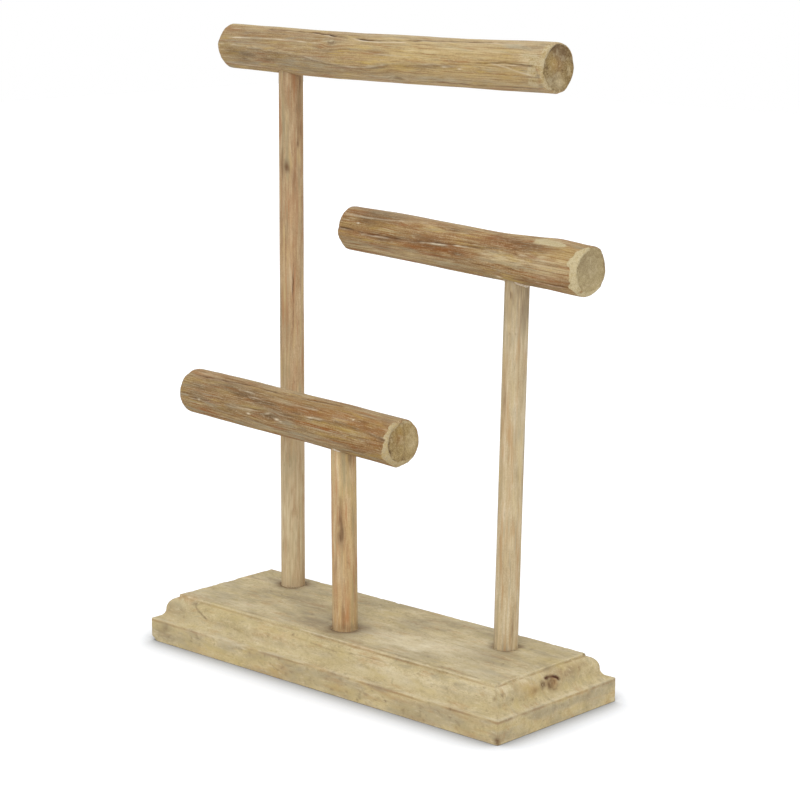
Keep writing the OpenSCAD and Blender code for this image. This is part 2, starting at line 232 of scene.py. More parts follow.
def wood(name, look):
    """Bare wood. The mesh says where its grain runs, where it is stained, worn or cut, and where shade and
    highlights are painted on it.
    """
    material, g = blank_material(name)
    shader = g.tree.nodes["Principled BSDF"]
    grain = g.attribute("grain").outputs["Vector"]
    red, grey, yellow = g.parts("stain_and_shade")
    dark, pale, crack = g.parts("wear")
    lip, cut, face = g.parts("ends")
    stains = ((red, "red"), (grey, "grey"), (yellow, "yellow"), (dark, "shade"), (pale, "pale"))

    def tinted(colour, key, value, low, high, depth):
        """The colour, mixed with one of the look's as the value goes from low to high."""
        return g.mix(colour, look[key], g.span(value, low, high, 0, depth))

    # The grain: long streaks, fibres and hairs, with clouds of colour and a fine grit.
    streak = g.noise(grain, *look["streak"], detail=5, roughness=0.68)
    fibre = g.noise(grain, *look["fibre"], shift=7, detail=4, roughness=0.7)
    hair = g.noise(grain, *look["hair"], shift=13, detail=3)
    cloud = g.noise(grain, *look["cloud"], shift=21, detail=4, roughness=look["ragged"])
    grit = g.noise(grain, 0.8, 0.6, shift=47, detail=2)
    value = g.weigh(zip((streak, fibre, hair, cloud, grit), look["shares"]))
    value = g.span(value, 0.5 - look["spread"], 0.5 + look["spread"])
    colour = g.ramp(value, [(0.0, look["dark"]), (0.5, look["mid"]), (1.0, look["light"])])

    # Patches of other hues, then the stains that the mesh holds, broken up by the fibres.
    hue = g.noise(grain, *look["patch"], shift=57, detail=3, roughness=0.6)
    hue = g.weigh(((hue, 0.6), (fibre, 0.25), (streak, 0.15)))
    colour = tinted(colour, "red", hue, 0.475, 0.38, look["hue"])
    colour = tinted(colour, "yellow", hue, 0.525, 0.62, look["hue"])
    drab = g.weigh(((g.noise(grain, *look["patch"], shift=63, detail=3), 0.65), (fibre, 0.35)))
    colour = tinted(colour, "grey", drab, 0.53, 0.64, look["hue"])
    ragged = g.span(g.weigh(((fibre, 0.6), (hair, 0.4))), 0.36, 0.62, *look["fray"])
    for amount, key in stains:
        colour = g.mix(colour, look[key], g.maths("MULTIPLY", amount, ragged))

    dash = g.noise(grain, *look["dash"], shift=31, detail=2)
    dashes = g.span(dash, *look["dash_range"], 0, look["dash_depth"])
    colour = g.mix(colour, look["shade"], dashes)
    gleam = g.noise(grain, *look["gleam"], shift=37, detail=2)
    colour = tinted(colour, "pale", gleam, *look["gleam_range"], look["gleam_depth"])

    # End grain: rings and blotches, with the mesh's stains.
    blotch = g.noise(grain, 5, 2.2, shift=43, detail=4, roughness=0.7)
    ring = g.maths("MULTIPLY", g.attribute("rings").outputs["Fac"], 2 * math.pi / look["ring"])
    ring = g.maths("SINE", g.maths("ADD", ring, g.maths("MULTIPLY", blotch, 9.0)))
    sawn = g.weigh(((g.span(ring, -1, 1, 0.35, 0.65), 0.3), (blotch, 1.0), (grit, 0.8)))
    sawn = g.span(sawn, 0.5 - look["end_spread"], 0.5 + look["end_spread"])
    sawn = g.ramp(sawn, [(0.0, look["end_dark"]), (1.0, look["end_light"])])
    for amount, key in stains:
        sawn = g.mix(sawn, look[key], g.maths("MULTIPLY", amount, 0.8))
    colour = g.mix(colour, sawn, face)

    # Fresh knife cuts, a fine tooth over all, the raised lips and depths of the cracks, and painted
    # highlights on edges.
    fresh = g.weigh(((grit, 0.35), (blotch, 0.65)))
    fresh = g.ramp(fresh, [(0.3, look["end_dark"]), (0.4, look["end_light"]), (0.54, look["cut"])])
    shown = g.span(g.weigh(((cut, 0.8), (fibre, 0.2))), 0.36, 0.58)
    colour = g.mix(colour, fresh, g.maths("MULTIPLY", shown, g.span(hair, 0.4, 0.55, 0.85, 1.0)))
    tooth = g.weigh(((hair, 0.5), (fibre, 0.2), (grit, 0.3)))
    colour = tinted(colour, "shade", tooth, 0.5, 0.32, look["tooth"])
    colour = tinted(colour, "pale", tooth, 0.5, 0.68, look["tooth"])
    colour = g.mix(g.mix(colour, look["lip"], lip), look["crack"], crack)
    g.tree.links.new(colour, shader.inputs["Base Color"])

    height = g.weigh(((streak, 0.3), (fibre, 0.5), (hair, 0.4), (grit, 0.1)))
    height = g.maths("SUBTRACT", height, g.maths("MULTIPLY", dashes, 0.3))
    bump = g.add("ShaderNodeBump", {"Strength": look["bump"], "Distance": 0.0005, "Height": height})
    g.tree.links.new(bump.outputs["Normal"], shader.inputs["Normal"])
    g.tree.links.new(g.span(fibre, 0.2, 0.8, 0.92, 0.72), shader.inputs["Roughness"])
    shader.inputs["Specular IOR Level"].default_value = 0.25
    return material


# The woods. From streak to gleam: how long and wide the lumps of each noise are. Shares: how much
# streak, fibre, hair, cloud and grit count in the grain, and spread: how wide a range of it makes
# the step from dark to light. Hue: how strong the patches of other colours are. Fray: how strong
# stains are between the fibres and on them. Tooth: how strong the finest grain is.
BRANCH = {
    "streak": (80, 1.6), "fibre": (60, 0.7), "hair": (30, 0.42), "cloud": (18, 4), "patch": (22, 3.0),
    "dash": (9, 0.35), "gleam": (9, 0.4), "shares": (0.7, 0.6, 0.6, 0.6, 0.45), "spread": 0.13, "hue": 1.2,
    "dash_range": (0.6, 0.72), "dash_depth": 0.6, "gleam_range": (0.6, 0.72), "gleam_depth": 0.5,
    "ring": 1.3, "bump": 0.6, "end_spread": 0.16, "ragged": 0.68, "tooth": 0.4, "fray": (0.25, 1.4),
    "dark": tone(132, 104, 66), "mid": tone(174, 145, 101), "light": tone(209, 184, 137),
    "red": tone(160, 117, 76), "grey": tone(160, 149, 126), "yellow": tone(192, 162, 92),
    "shade": tone(104, 78, 50), "pale": tone(216, 200, 164),
    "end_dark": tone(104, 82, 44), "end_light": tone(180, 156, 106), "cut": tone(196, 180, 144),
    "lip": tone(224, 210, 182), "crack": tone(84, 58, 38)
}
DOWEL = {
    **BRANCH, "streak": (80, 2.6), "fibre": (50, 1.1), "hair": (24, 0.5), "cloud": (20, 5),
    "patch": (30, 3.6),
    "dash": (5, 0.4), "gleam": (16, 0.7), "dash_range": (0.63, 0.75), "dash_depth": 0.45,
    "gleam_range": (0.58, 0.7), "gleam_depth": 0.4, "shares": (0.7, 0.55, 0.4, 0.9, 0.4), "spread": 0.095,
    "hue": 0.9, "bump": 0.3, "tooth": 0.05
}
LOOKS = {
    "top_bar": BRANCH,
    "middle_bar": {
        **BRANCH, "spread": 0.115, "dark": tone(110, 74, 36), "mid": tone(158, 123, 79),
        "light": tone(202, 175, 130),
        "red": tone(140, 82, 30), "yellow": tone(184, 152, 84), "grey": tone(148, 132, 102),
        "end_dark": tone(160, 141, 98), "end_light": tone(196, 179, 136), "end_spread": 0.2,
        "cut": tone(202, 188, 150)
    },
    "lower_bar": {
        **BRANCH, "spread": 0.115, "dark": tone(108, 78, 40), "mid": tone(154, 124, 82),
        "light": tone(196, 171, 130),
        "red": tone(144, 88, 34), "yellow": tone(176, 146, 78), "grey": tone(150, 136, 110),
        "end_dark": tone(142, 118, 72), "end_light": tone(192, 170, 120), "end_spread": 0.17,
        "cut": tone(188, 172, 136)
    },
    "dowel": {
        **DOWEL, "dark": tone(162, 129, 93), "mid": tone(190, 162, 125), "light": tone(214, 191, 154),
        "red": tone(176, 130, 92), "grey": tone(160, 146, 114), "yellow": tone(204, 178, 128),
        "shade": tone(114, 82, 56)
    },
    "warm_dowel": {
        **DOWEL, "dark": tone(172, 138, 98), "mid": tone(197, 170, 128), "light": tone(220, 198, 160),
        "red": tone(184, 134, 90), "grey": tone(168, 152, 116), "yellow": tone(208, 180, 122),
        "shade": tone(112, 82, 56)
    },
    "pale_dowel": {
        **DOWEL, "dark": tone(176, 152, 116), "mid": tone(203, 185, 149), "light": tone(224, 209, 180),
        "red": tone(190, 156, 114), "grey": tone(172, 158, 130), "yellow": tone(208, 188, 142),
        "shade": tone(122, 94, 68)
    },
    "board": {
        **BRANCH, "streak": (44, 3), "fibre": (6, 1.5), "hair": (1.4, 0.7), "cloud": (18, 9),
        "patch": (20, 7),
        "dash": (2.6, 0.7), "gleam": (5, 1.2), "shares": (0.2, 0.28, 0.45, 1.0, 0.4),
        "spread": 0.13, "hue": 0.6, "ragged": 0.66, "tooth": 0.03, "fray": (0.65, 1.15),
        "dash_range": (0.62, 0.74), "dash_depth": 0.35, "gleam_range": (0.6, 0.72), "gleam_depth": 0.3,
        "bump": 0.35,
        "dark": tone(166, 148, 108), "mid": tone(200, 184, 144), "light": tone(220, 206, 172),
        "red": tone(180, 144, 100), "grey": tone(160, 148, 122), "yellow": tone(194, 175, 120),
        "shade": tone(116, 92, 64), "pale": tone(224, 212, 182), "crack": tone(84, 52, 34),
        "lip": tone(230, 218, 190)
    },
}


# Meshes


def add_object(name, data):
    """A new object in the scene."""
    thing = bpy.data.objects.new(name, data)
    bpy.context.scene.collection.objects.link(thing)
    return thing


def vertices_of(node):
    return np.array([v.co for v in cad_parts[node].data.vertices], float) / MM


def tree_of(node):
    """The solid's surface, in millimetres, for rays to be cast at."""
    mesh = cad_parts[node].data
    return BVHTree.FromPolygons([v.co / MM for v in mesh.vertices], [p.vertices for p in mesh.polygons])


def skin(name, points, fields, flip=False):
    """A closed mesh through rows of points that go round. Its first and last rows are capped."""
    rows, columns = points.shape[:2]
    index = np.arange(rows * columns).reshape(rows, columns)
    beside = np.roll(index, -1, axis=1)
    quads = np.stack([index[:-1], index[1:], beside[1:], beside[:-1]], -1).reshape(-1, 4)
    caps = [index[0].tolist(), index[-1][::-1].tolist()]
    if flip:
        quads = quads[:, ::-1]
        caps = [cap[::-1] for cap in caps]
    mesh = bpy.data.meshes.new(name)
    mesh.from_pydata((points.reshape(-1, 3) * MM).tolist(), [], quads.tolist() + caps)
    mesh.shade_smooth()
    for key, values in fields.items():
        kind, channel = ("FLOAT_VECTOR", "vector") if values.ndim == 3 else ("FLOAT", "value")
        attribute = mesh.attributes.new(key, kind, "POINT")
        attribute.data.foreach_set(channel, values.astype(np.float32).ravel())
    return add_object(name, mesh)


def drill(piece, starts, ends, radii):
    """Cuts round blind sockets into a piece, one from each start to each end."""
    for start, end, radius in zip(starts, ends, radii):
        axis = Vector(end - start)
        turn = Vector((0, 0, 1)).rotation_difference(axis).to_matrix()
        around = np.radians(np.arange(0, 360, 5))
        ring = np.stack([radius * np.cos(around), radius * np.sin(around), 0 * around], -1)
        rows = [ring @ np.array(turn).T + np.array(at) for at in (start, end)]
        cutter = skin("cutter", np.array(rows), {}, flip=True)
        modifier = piece.modifiers.new("socket", "BOOLEAN")
        modifier.operation = "DIFFERENCE"
        modifier.solver = "MANIFOLD"
        modifier.object = cutter
        shaped = piece.evaluated_get(bpy.context.evaluated_depsgraph_get())
        mesh = bpy.data.meshes.new_from_object(shaped)
        piece.modifiers.clear()
        piece.data = mesh
        bpy.data.objects.remove(cutter)
    return piece


def dress(piece, material, node):
    """Gives a piece its wood and lets it stand for its solid."""
    piece.data.materials.clear()
    piece.data.materials.append(material)
    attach(piece, "root")
    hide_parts(node)
    return piece


# Marks on the round pieces. Places run along a piece: heights above the table on a post, and
# distances from its post to the right on a bar. Angles go round it: a post's from its front to its
# right, and a bar's from its front up to its top.

# Strokes: kind, half width, strength, and the places and angles that each runs through.
STROKES = {
    "tall_post": [
        ("crack", 0.35, 1, [(160, 50), (172, 50), (178, 51), (191, 53), (201, 54)]),
        ("dark", 0.8, 0.8, [(262, 84), (270, 90), (284, 92), (297, 93)]),
        ("dark", 0.5, 0.6, [(60, 34), (68, 42), (78, 43)])
    ],
    "middle_post": [("crack", 0.4, 0.8, [(199, 8), (202, 10), (204, 9)])],
    "short_post": [("dark", 0.6, 0.6, [(70, 26), (76, 32), (83, 29), (95, 28)])],
    "top_bar": [
        ("edge", 0.8, 1, [(-42, 10), (-20, 7), (0, 1), (20, -6), (35, -14), (50, -21), (62, -22),
            (75, -16), (88, -6), (105, -5), (126, -3)]),
        ("crack", 0.45, 0.8, [(116, -3), (130, -1), (140, 5), (150, 9), (174, 9)]),
        ("pale", 0.5, 0.7, [(146, 8), (158, 0), (165, -8), (174, -15)]),
        ("crack", 0.6, 1.5, [(-12, 66), (10, 65), (25, 62), (38, 55), (50, 47)]),
        ("crack", 0.5, 1.2, [(53, 51), (60, 46), (75, 45), (85, 49), (100, 56), (120, 62), (152, 68)]),
        ("pale", 0.5, 0.8, [(51, 50), (60, 42), (75, 41), (90, 46)]),
        ("pale", 0.45, 1.1, [(-38, 30), (0, 32), (20, 29), (34, 27)]),
        ("pale", 0.4, 0.5, [(-38, 58), (-20, 62), (-2, 63), (14, 60)]),
        ("pale", 0.4, 0.6, [(66, 12), (80, 10), (97, 9)]),
        ("dark", 0.4, 0.6, [(64, 15), (72, 18), (78, 20)]),
        ("crack", 0.5, 0.6, [(96, -55), (125, -55), (150, -54), (175, -52)]),
        ("pale", 0.5, 0.6, [(-42, -48), (-30, -50), (-14, -48)]),
        ("dark", 0.4, 0.5, [(-32, 17), (-10, 14), (8, 12)])
    ],
    "middle_bar": [
        ("crack", 0.4, 0.9, [(-109, 9), (-90, 6), (-80, 5), (-67, 5)]),
        ("crack", 0.35, 0.7, [(-70, 5), (-60, 6), (-50, 11), (-40, 14), (-28, 18), (-15, 22)]),
        ("dark", 0.5, 0.6, [(-20, 21), (-5, 27), (8, 31), (26, 34)]),
        ("dark", 0.8, 0.55, [(-62, 3), (-50, 7), (-36, 9)]),
        ("pale", 0.45, 1.1, [(-54, 7), (-47, 9), (-40, 11.5), (-36, 13)]),
        ("pale", 0.45, 1.1, [(-33, 15), (-28, 16.5), (-23, 18)]),
        ("pale", 0.4, 0.9, [(-84, 2.5), (-80, 2.5), (-73, 3)]),
        ("dark", 0.6, 0.8, [(-109, 4), (-95, 2), (-82, 1)]),
        ("edge", 0.7, 0.9, [(-14, 16), (5, 21), (15, 20), (25, 17), (32, 15), (38, 18), (45, 24)]),
        ("pale", 0.5, 0.8, [(-107, 45), (-90, 44), (-78, 47), (-68, 53), (-53, 62)]),
        ("pale", 0.4, 0.5, [(-50, 48), (-35, 50), (-24, 58)]),
        ("dark", 0.5, 0.6, [(-48, 53), (-40, 54), (-33, 57)]),
        ("crack", 0.45, 0.8, [(22, -31), (33, -32), (39, -31)]),
        ("pale", 0.5, 0.9, [(19, -35), (30, -36), (38, -35)]),
        ("pale", 0.4, 0.5, [(-15, 9), (0, 10), (20, 8), (30, 5), (43, 4)]),
        ("dark", 0.5, 0.7, [(-1, -15), (4, -16), (9, -16)]),
        ("dark", 0.4, 0.6, [(-62, -12), (-45, -15), (-30, -13)])
    ],
    "lower_bar": [
        ("crack", 0.55, 0.9, [(-108, 62), (-80, 66), (-60, 68), (-40, 66), (-20, 72), (3, 81)]),
        ("edge", 0.7, 1.4, [(-34, 17), (-10, 22), (0, 26), (8, 31), (15, 29), (25, 25), (35, 20),
            (41, 17)]), ("crack", 0.35, 0.6, [(-106, -4), (-80, 2), (-60, 8), (-40, 12), (-24, 15)]),
        ("pale", 0.4, 0.9, [(-67, 3), (-60, 4), (-52, 6)]),
        ("pale", 0.4, 0.8, [(-44, 14), (-36, 13), (-30, 11)]),
        ("edge", 0.7, 0.7, [(-46, -52), (-20, -43), (0, -32), (12, -32), (20, -40), (31, -55)]),
        ("dark", 0.4, 0.8, [(-62, 40), (-52, 38), (-44, 36)]),
        ("dark", 0.4, 0.8, [(-66, 32), (-56, 31), (-47, 31)]),
        ("dark", 0.5, 0.9, [(-50, 27), (-42, 29), (-34, 28)]),
        ("dark", 0.4, 0.6, [(-60, 50), (-48, 47), (-40, 47)]),
        ("dark", 0.45, 0.9, [(-28, 25), (-22, 24), (-16, 25)]),
        ("pale", 0.35, 0.7, [(-70, 46), (-60, 45), (-50, 43)]),
        ("pale", 0.35, 0.7, [(-60, 35), (-53, 35), (-45, 33)]),
        ("pale", 0.35, 0.6, [(-30, 40), (-20, 42), (-8, 43)]),
        ("pale", 0.35, 0.7, [(-46, 3), (-42, 8), (-39, 14)]),
        ("dark", 0.35, 0.8, [(-50, 5), (-44, 1), (-38, -5)]),
        ("dark", 0.35, 0.7, [(-44, -2), (-38, 3), (-33, 6)]),
        ("dark", 0.5, 0.7, [(-13, 80), (-8, 79), (-2, 80)]),
        ("dark", 0.4, 0.7, [(24, 0), (29, -2), (33, -3)]), ("pale", 0.4, 0.8, [(2, 36), (8, 35), (14, 37)])
    ]
}
# Stains of each kind: place, angle, half length, half width and strength.
STAINS = {
    "tall_post": {
        "dark": [
            (283, 92, 14, 1.6, 0.8), (262, 80, 2, 0.8, 0.9), (269, 90, 2.5, 1, 0.9), (249, 33, 2, 0.8, 0.8),
            (249, 18, 2.5, 1.2, 0.4), (90, 20, 3, 1, 0.4), (37, 95, 4, 1, 0.5), (28, 45, 3, 5, 0.4),
            (292, 40, 9, 12, 0.35), (270, 45, 40, 14, 0.14)
        ],
        "grey": [
            (250, 20, 8, 2.2, 0.8), (140, 5, 10, 1.6, 0.6), (90, 14, 5, 1.6, 0.8), (270, 20, 24, 4, 0.5),
            (170, 15, 20, 2, 0.4), (118, 60, 12, 2, 0.4)
        ],
        "red": [
            (140, 62, 10, 1.2, 0.6), (70, 44, 12, 1.4, 0.7), (255, 60, 30, 2.5, 0.4), (190, 25, 30, 2, 0.3),
            (215, 50, 30, 2, 0.5), (110, 30, 22, 1.4, 0.5)
        ],
        "pale": [(62, 45, 52, 14, 1)]
    },
    "middle_post": {
        "dark": [
            # The broad dark stain at 200 is painted shadow under the middle bar.
            (202, 9, 3, 0.8, 0.8), (200, 45, 12, 14, 0.45), (183, 12, 0.6, 0.4, 0.9),
            (183, 39, 0.6, 0.4, 0.8)
        ],
        "grey": [(192, 45, 22, 14, 0.8), (130, 55, 26, 2.4, 0.5)],
        "red": [
            (110, 30, 22, 1.5, 0.4), (150, -5, 30, 1.5, 0.5), (76, 101, 4, 1, 0.7), (60, 93, 5, 1, 0.7),
            (30, 98, 6, 1, 0.8), (35, 5, 12, 1.2, 0.3), (196, 6, 12, 1.5, 0.3)
        ],
        "pale": [(81, 55, 5, 2, 0.5)]
    },
    "short_post": {
        "dark": [
            (75, 30, 5, 1.7, 0.85), (61, 59, 0.7, 0.5, 0.9), (58, 22, 0.7, 0.4, 0.6), (27, 60, 2, 8, 0.5)
        ],
        "grey": [(75, 30, 6, 2.2, 0.6)],
        "red": [
            (84, 28, 7, 1.8, 0.8), (70, 45, 7, 1.4, 0.5), (52, 20, 18, 3.5, 0.5), (30, 8, 6, 3, 0.7),
            (42, 70, 10, 2, 0.4)
        ],
        "yellow": [(76, 62, 6, 1.6, 0.5)]
    },
    "top_bar": {
        "grey": [
            (24, -13, 15, 2.2, 0.9), (50, -26, 14, 2, 0.5), (105, -9, 16, 1.6, 0.5), (-25, -35, 16, 4, 0.5),
            (20, -45, 30, 3, 0.5), (40, 32, 5, 2.2, 0.8), (82, -48, 7, 3, 0.7), (10, -24, 8, 2, 0.7),
            (120, -44, 46, 2.6, 0.7), (-5, 5, 60, 20, 0.28), (60, 60, 40, 3, 0.4)
        ],
        "dark": [
            (-24, -22, 6, 3.4, 0.6), (-10, -15, 10, 2.2, 0.45), (4, -14, 6, 1.6, 0.4),
            (22, -38, 7, 2.6, 0.4), (40, 33, 2.5, 1.2, 1.1), (84, -50, 3.5, 1.3, 1),
            (-34, -10, 5, 1.6, 0.8), (-14, 28, 10, 1, 0.6), (72, 20, 5, 1.2, 0.5), (174, 66, 3, 2.6, 0.8),
            (-30, 25, 18, 5, 0.22), (62, 35, 3, 1.2, 0.5), (-20, 20, 50, 20, 0.2), (30, 30, 24, 6, 0.2),
            (-12, 52, 20, 2, 0.5), (-30, 0, 8, 2.5, 0.4), (165, 12, 12, 5, 0.12), (168, 52, 4, 1.4, 0.7)
        ],
        "red": [
            (-12, 15, 12, 1.8, 0.7), (-15, -18, 6, 1.8, 0.6), (5, 20, 8, 2, 0.5), (48, 22, 8, 2, 0.5),
            (-25, 42, 20, 3, 0.35), (160, -24, 8, 3, 0.5), (5, 45, 30, 4, 0.35), (30, 0, 12, 3, 0.3),
            (166, 60, 5, 1.5, 0.6)
        ],
        "pale": [
            # The long bands at angles 80 and 85 are painted highlight along the top, partly weathering.
            (-20, 10, 14, 1.4, 0.6), (169, 25, 6, 3.4, 0.9), (120, 80, 60, 4, 0.4), (30, 85, 60, 4, 0.35),
            (120, 40, 75, 8, 0.45), (110, -45, 80, 5, 0.35)
        ],
        "yellow": [
            (0, 24, 24, 1.6, 0.45), (90, -16, 8, 2, 0.9), (118, 22, 48, 6, 0.55), (130, -22, 35, 3, 0.5),
            (160, -8, 9, 8, 0.5), (100, 30, 50, 8, 0.4), (92, -16, 6, 1.6, 0.7)
        ],
        "cut": [(172, -20, 3.4, 7, 1.2), (173, 16, 2.4, 5, 1), (168, 30, 3, 2.4, 0.9)]
    },
    "middle_bar": {
        "red": [
            (-44, 1, 24, 1.8, 1), (-30, -3, 4, 1, 1), (-94, 1, 13, 1.4, 0.9), (-50, 18, 12, 2.6, 0.9),
            (-92, 55, 12, 6, 0.6), (-50, 14, 14, 3, 0.7), (5, 45, 26, 3, 0.5), (-55, 74, 26, 2.6, 1),
            (-90, 64, 16, 4, 0.7), (-100, 62, 8, 2.5, 0.7), (33, -22, 12, 2, 0.7), (8, 44, 20, 3, 1.1),
            (-38, 0, 20, 4, 0.7), (24, 40, 10, 1.6, 0.8), (-70, -22, 14, 1.6, 0.4)
        ],
        "dark": [
            (-82, 66, 12, 4, 1.6), (-90, 42, 9, 4, 0.9), (-50, 17, 10, 2, 0.5), (17, 37, 10, 2, 0.9),
            (-28, 74, 4, 1.5, 0.9), (-46, 4, 16, 2.6, 0.6), (-100, 20, 10, 4, 0.25), (-74, 2, 9, 1.3, 0.7),
            (-44, 4, 10, 1.2, 0.6), (-28, -4, 3.5, 0.8, 0.8), (38, -26, 7, 0.9, 0.7),
            (12, 47, 15, 1.5, 1.4), (-2, 60, 9, 1.2, 0.7), (-40, 2, 12, 2.4, 0.4), (-90, 58, 14, 4, 0.4),
            (-33, 57, 5, 0.9, 0.6)
        ],
        "pale": [
            # The long band at angle 88 is painted highlight along the top, partly weathering.
            (-75, -38, 42, 4, 0.5), (26, 10, 16, 8, 0.5), (-4, 3, 13, 2.2, 0.8), (-60, 88, 50, 3, 0.35)
        ],
        "yellow": [
            (30, 20, 14, 6, 0.4), (34, 44, 8, 4.5, 0.9), (-10, 8, 12, 1.8, 0.6), (-82, 24, 18, 2.4, 0.4)
        ],
        "grey": [
            (-10, 22, 14, 3, 0.4), (-62, 22, 26, 3, 0.5), (-30, -45, 42, 4, 0.6), (-98, -24, 12, 5, 0.4)
        ],
        "cut": [(18, 67, 6, 2.6, 1.7), (27, 63, 6, 2.2, 1.5), (40.5, 24, 1.4, 2.6, 1)]
    },
    "lower_bar": {
        "red": [
            (-24, 34, 22, 3, 0.9), (-52, 34, 14, 2.8, 0.8), (28, 38, 14, 4, 0.6), (35, 6, 8, 4, 0.7),
            (-85, 12, 14, 2, 0.4), (5, 44, 20, 3, 0.6), (-75, 70, 24, 2.4, 0.5), (20, -18, 16, 3, 0.4),
            (-50, 36, 18, 5, 0.9), (-22, 36, 20, 4, 0.9), (15, 60, 30, 4, 0.5), (-70, 24, 12, 2, 0.6),
            (-40, -4, 6, 2.4, 0.9), (22, 22, 16, 2, 0.7), (-26, 44, 16, 4, 0.6), (-28, 40, 16, 3.5, 0.5),
            (-90, 84, 40, 2.4, 0.4)
        ],
        "dark": [
            (-21, 25, 4, 1.1, 0.9), (-42, 30, 8, 1.4, 0.7), (-72, -4, 5, 0.8, 0.6), (-98, 9, 4, 1.2, 0.5),
            (22, 45, 8, 1.2, 0.4), (-60, 40, 12, 1.6, 0.6), (-48, 33, 8, 1.2, 0.7), (-30, 8, 9, 1.4, 0.5),
            (-45, 4, 7, 1.2, 0.7), (10, 22, 9, 1, 0.5), (-76, 56, 18, 6, 0.4), (-60, 45, 14, 3, 0.45),
            (-45, 38, 28, 6, 0.3), (-82, 50, 10, 3, 0.8), (-66, 36, 8, 2, 0.9), (-52, 26, 5, 1.2, 0.9),
            (-36, 20, 6, 1, 0.8), (-40, -2, 3, 1.4, 0.7), (-26, 42, 14, 3, 0.35), (38, 14, 2.5, 2.5, 0.5)
        ],
        "grey": [
            (-76, 55, 12, 2.8, 0.7), (-97, 6, 7, 1.8, 0.8), (-20, -14, 18, 2.2, 0.6),
            (-35, 9, 11, 1.8, 0.7), (-70, 20, 40, 9, 0.25), (-50, 12, 18, 3, 0.6), (-88, 30, 16, 5, 0.4),
            (-45, 12, 12, 1.6, 0.8), (-28, -35, 14, 3, 0.6), (0, -52, 40, 3, 0.35)
        ],
        "yellow": [
            (-54, 12, 11, 1.6, 0.8), (-76, 32, 10, 1.8, 0.6), (8, 17, 26, 1.3, 0.6), (-5, 62, 26, 3, 0.4),
            (-40, 52, 20, 4, 0.5)
        ],
        "pale": [(-34, 42, 9, 1, 0.5), (-40, -38, 36, 3.5, 0.35)]
    }
}
# Knots: place, angle, size and depth.
KNOTS = {
    "tall_post": [(250, 20, 2.2, 0.1)],
    "middle_post": [(202, 9, 1.6, 0.1)],
    "short_post": [(75, 30, 2.4, 0.12)],
    "top_bar": [(84, -50, 3.2, 0.35), (171, 56, 2.4, 0.25), (40, 32, 2.6, 0.1)],
    "middle_bar": [(-95, 26, 1, 0.1)],
    "lower_bar": [(-42, 1, 3, 0.2)]
}
# White flecks of lime or glue on the bars: place, angle, length and width.
FLECKS = {
    "top_bar": [(128, -10, 1.6, 0.4), (118, -8, 2.2, 0.35)],
    "middle_bar": [
        (-95, 26, 1.1, 0.5), (-5, -50, 2.4, 0.8), (-45, 10.5, 1.6, 0.4), (-41, 11.5, 1.2, 0.45),
        (-30, 16.5, 1.8, 0.4)
    ],
    "lower_bar": [
        (-36, -2, 1.9, 0.7), (-57, -5, 1.4, 0.6), (-97, -4, 1.1, 0.5), (16, 43, 0.7, 0.6),
        (-33, -5, 1.2, 0.3)
    ]
}
KINDS = ("red", "grey", "yellow", "dark", "pale", "crack", "lip", "cut")


class Marks(dict):
    """How strongly each kind of mark shows at each point of a surface, from 0 to 1."""

    def __init__(self, like):
        super().__init__((kind, np.zeros_like(like)) for kind in KINDS)

    def add(self, kind, amount):
        """Lays a mark over what is there. The two together never pass 1."""
        self[kind] = 1 - (1 - self[kind]) * (1 - np.clip(amount, 0, 1))


def attributes(marks, face):
    """Marks in the form that the wood's material reads. Face says where end grain shows."""
    columns = {
        "stain_and_shade": (marks["red"], marks["grey"], marks["yellow"]),
        "wear": (marks["dark"], marks["pale"], marks["crack"]),
        "ends": (marks["lip"], marks["cut"], face + 0 * marks["cut"]),
    }
    return {name: np.stack(column, -1) for name, column in columns.items()}


def wood_space(place, radius, angle):
    """Points of a round piece in its wood's own directions: along the grain, and twice across it."""
    ring = np.radians(angle)
    return np.stack([place, radius * np.cos(ring), radius * np.sin(ring)], -1)


def stains_of(node):
    """A node's stains in one list, each with its kind first."""
    return [(kind, *row) for kind, rows in STAINS[node].items() for row in rows]


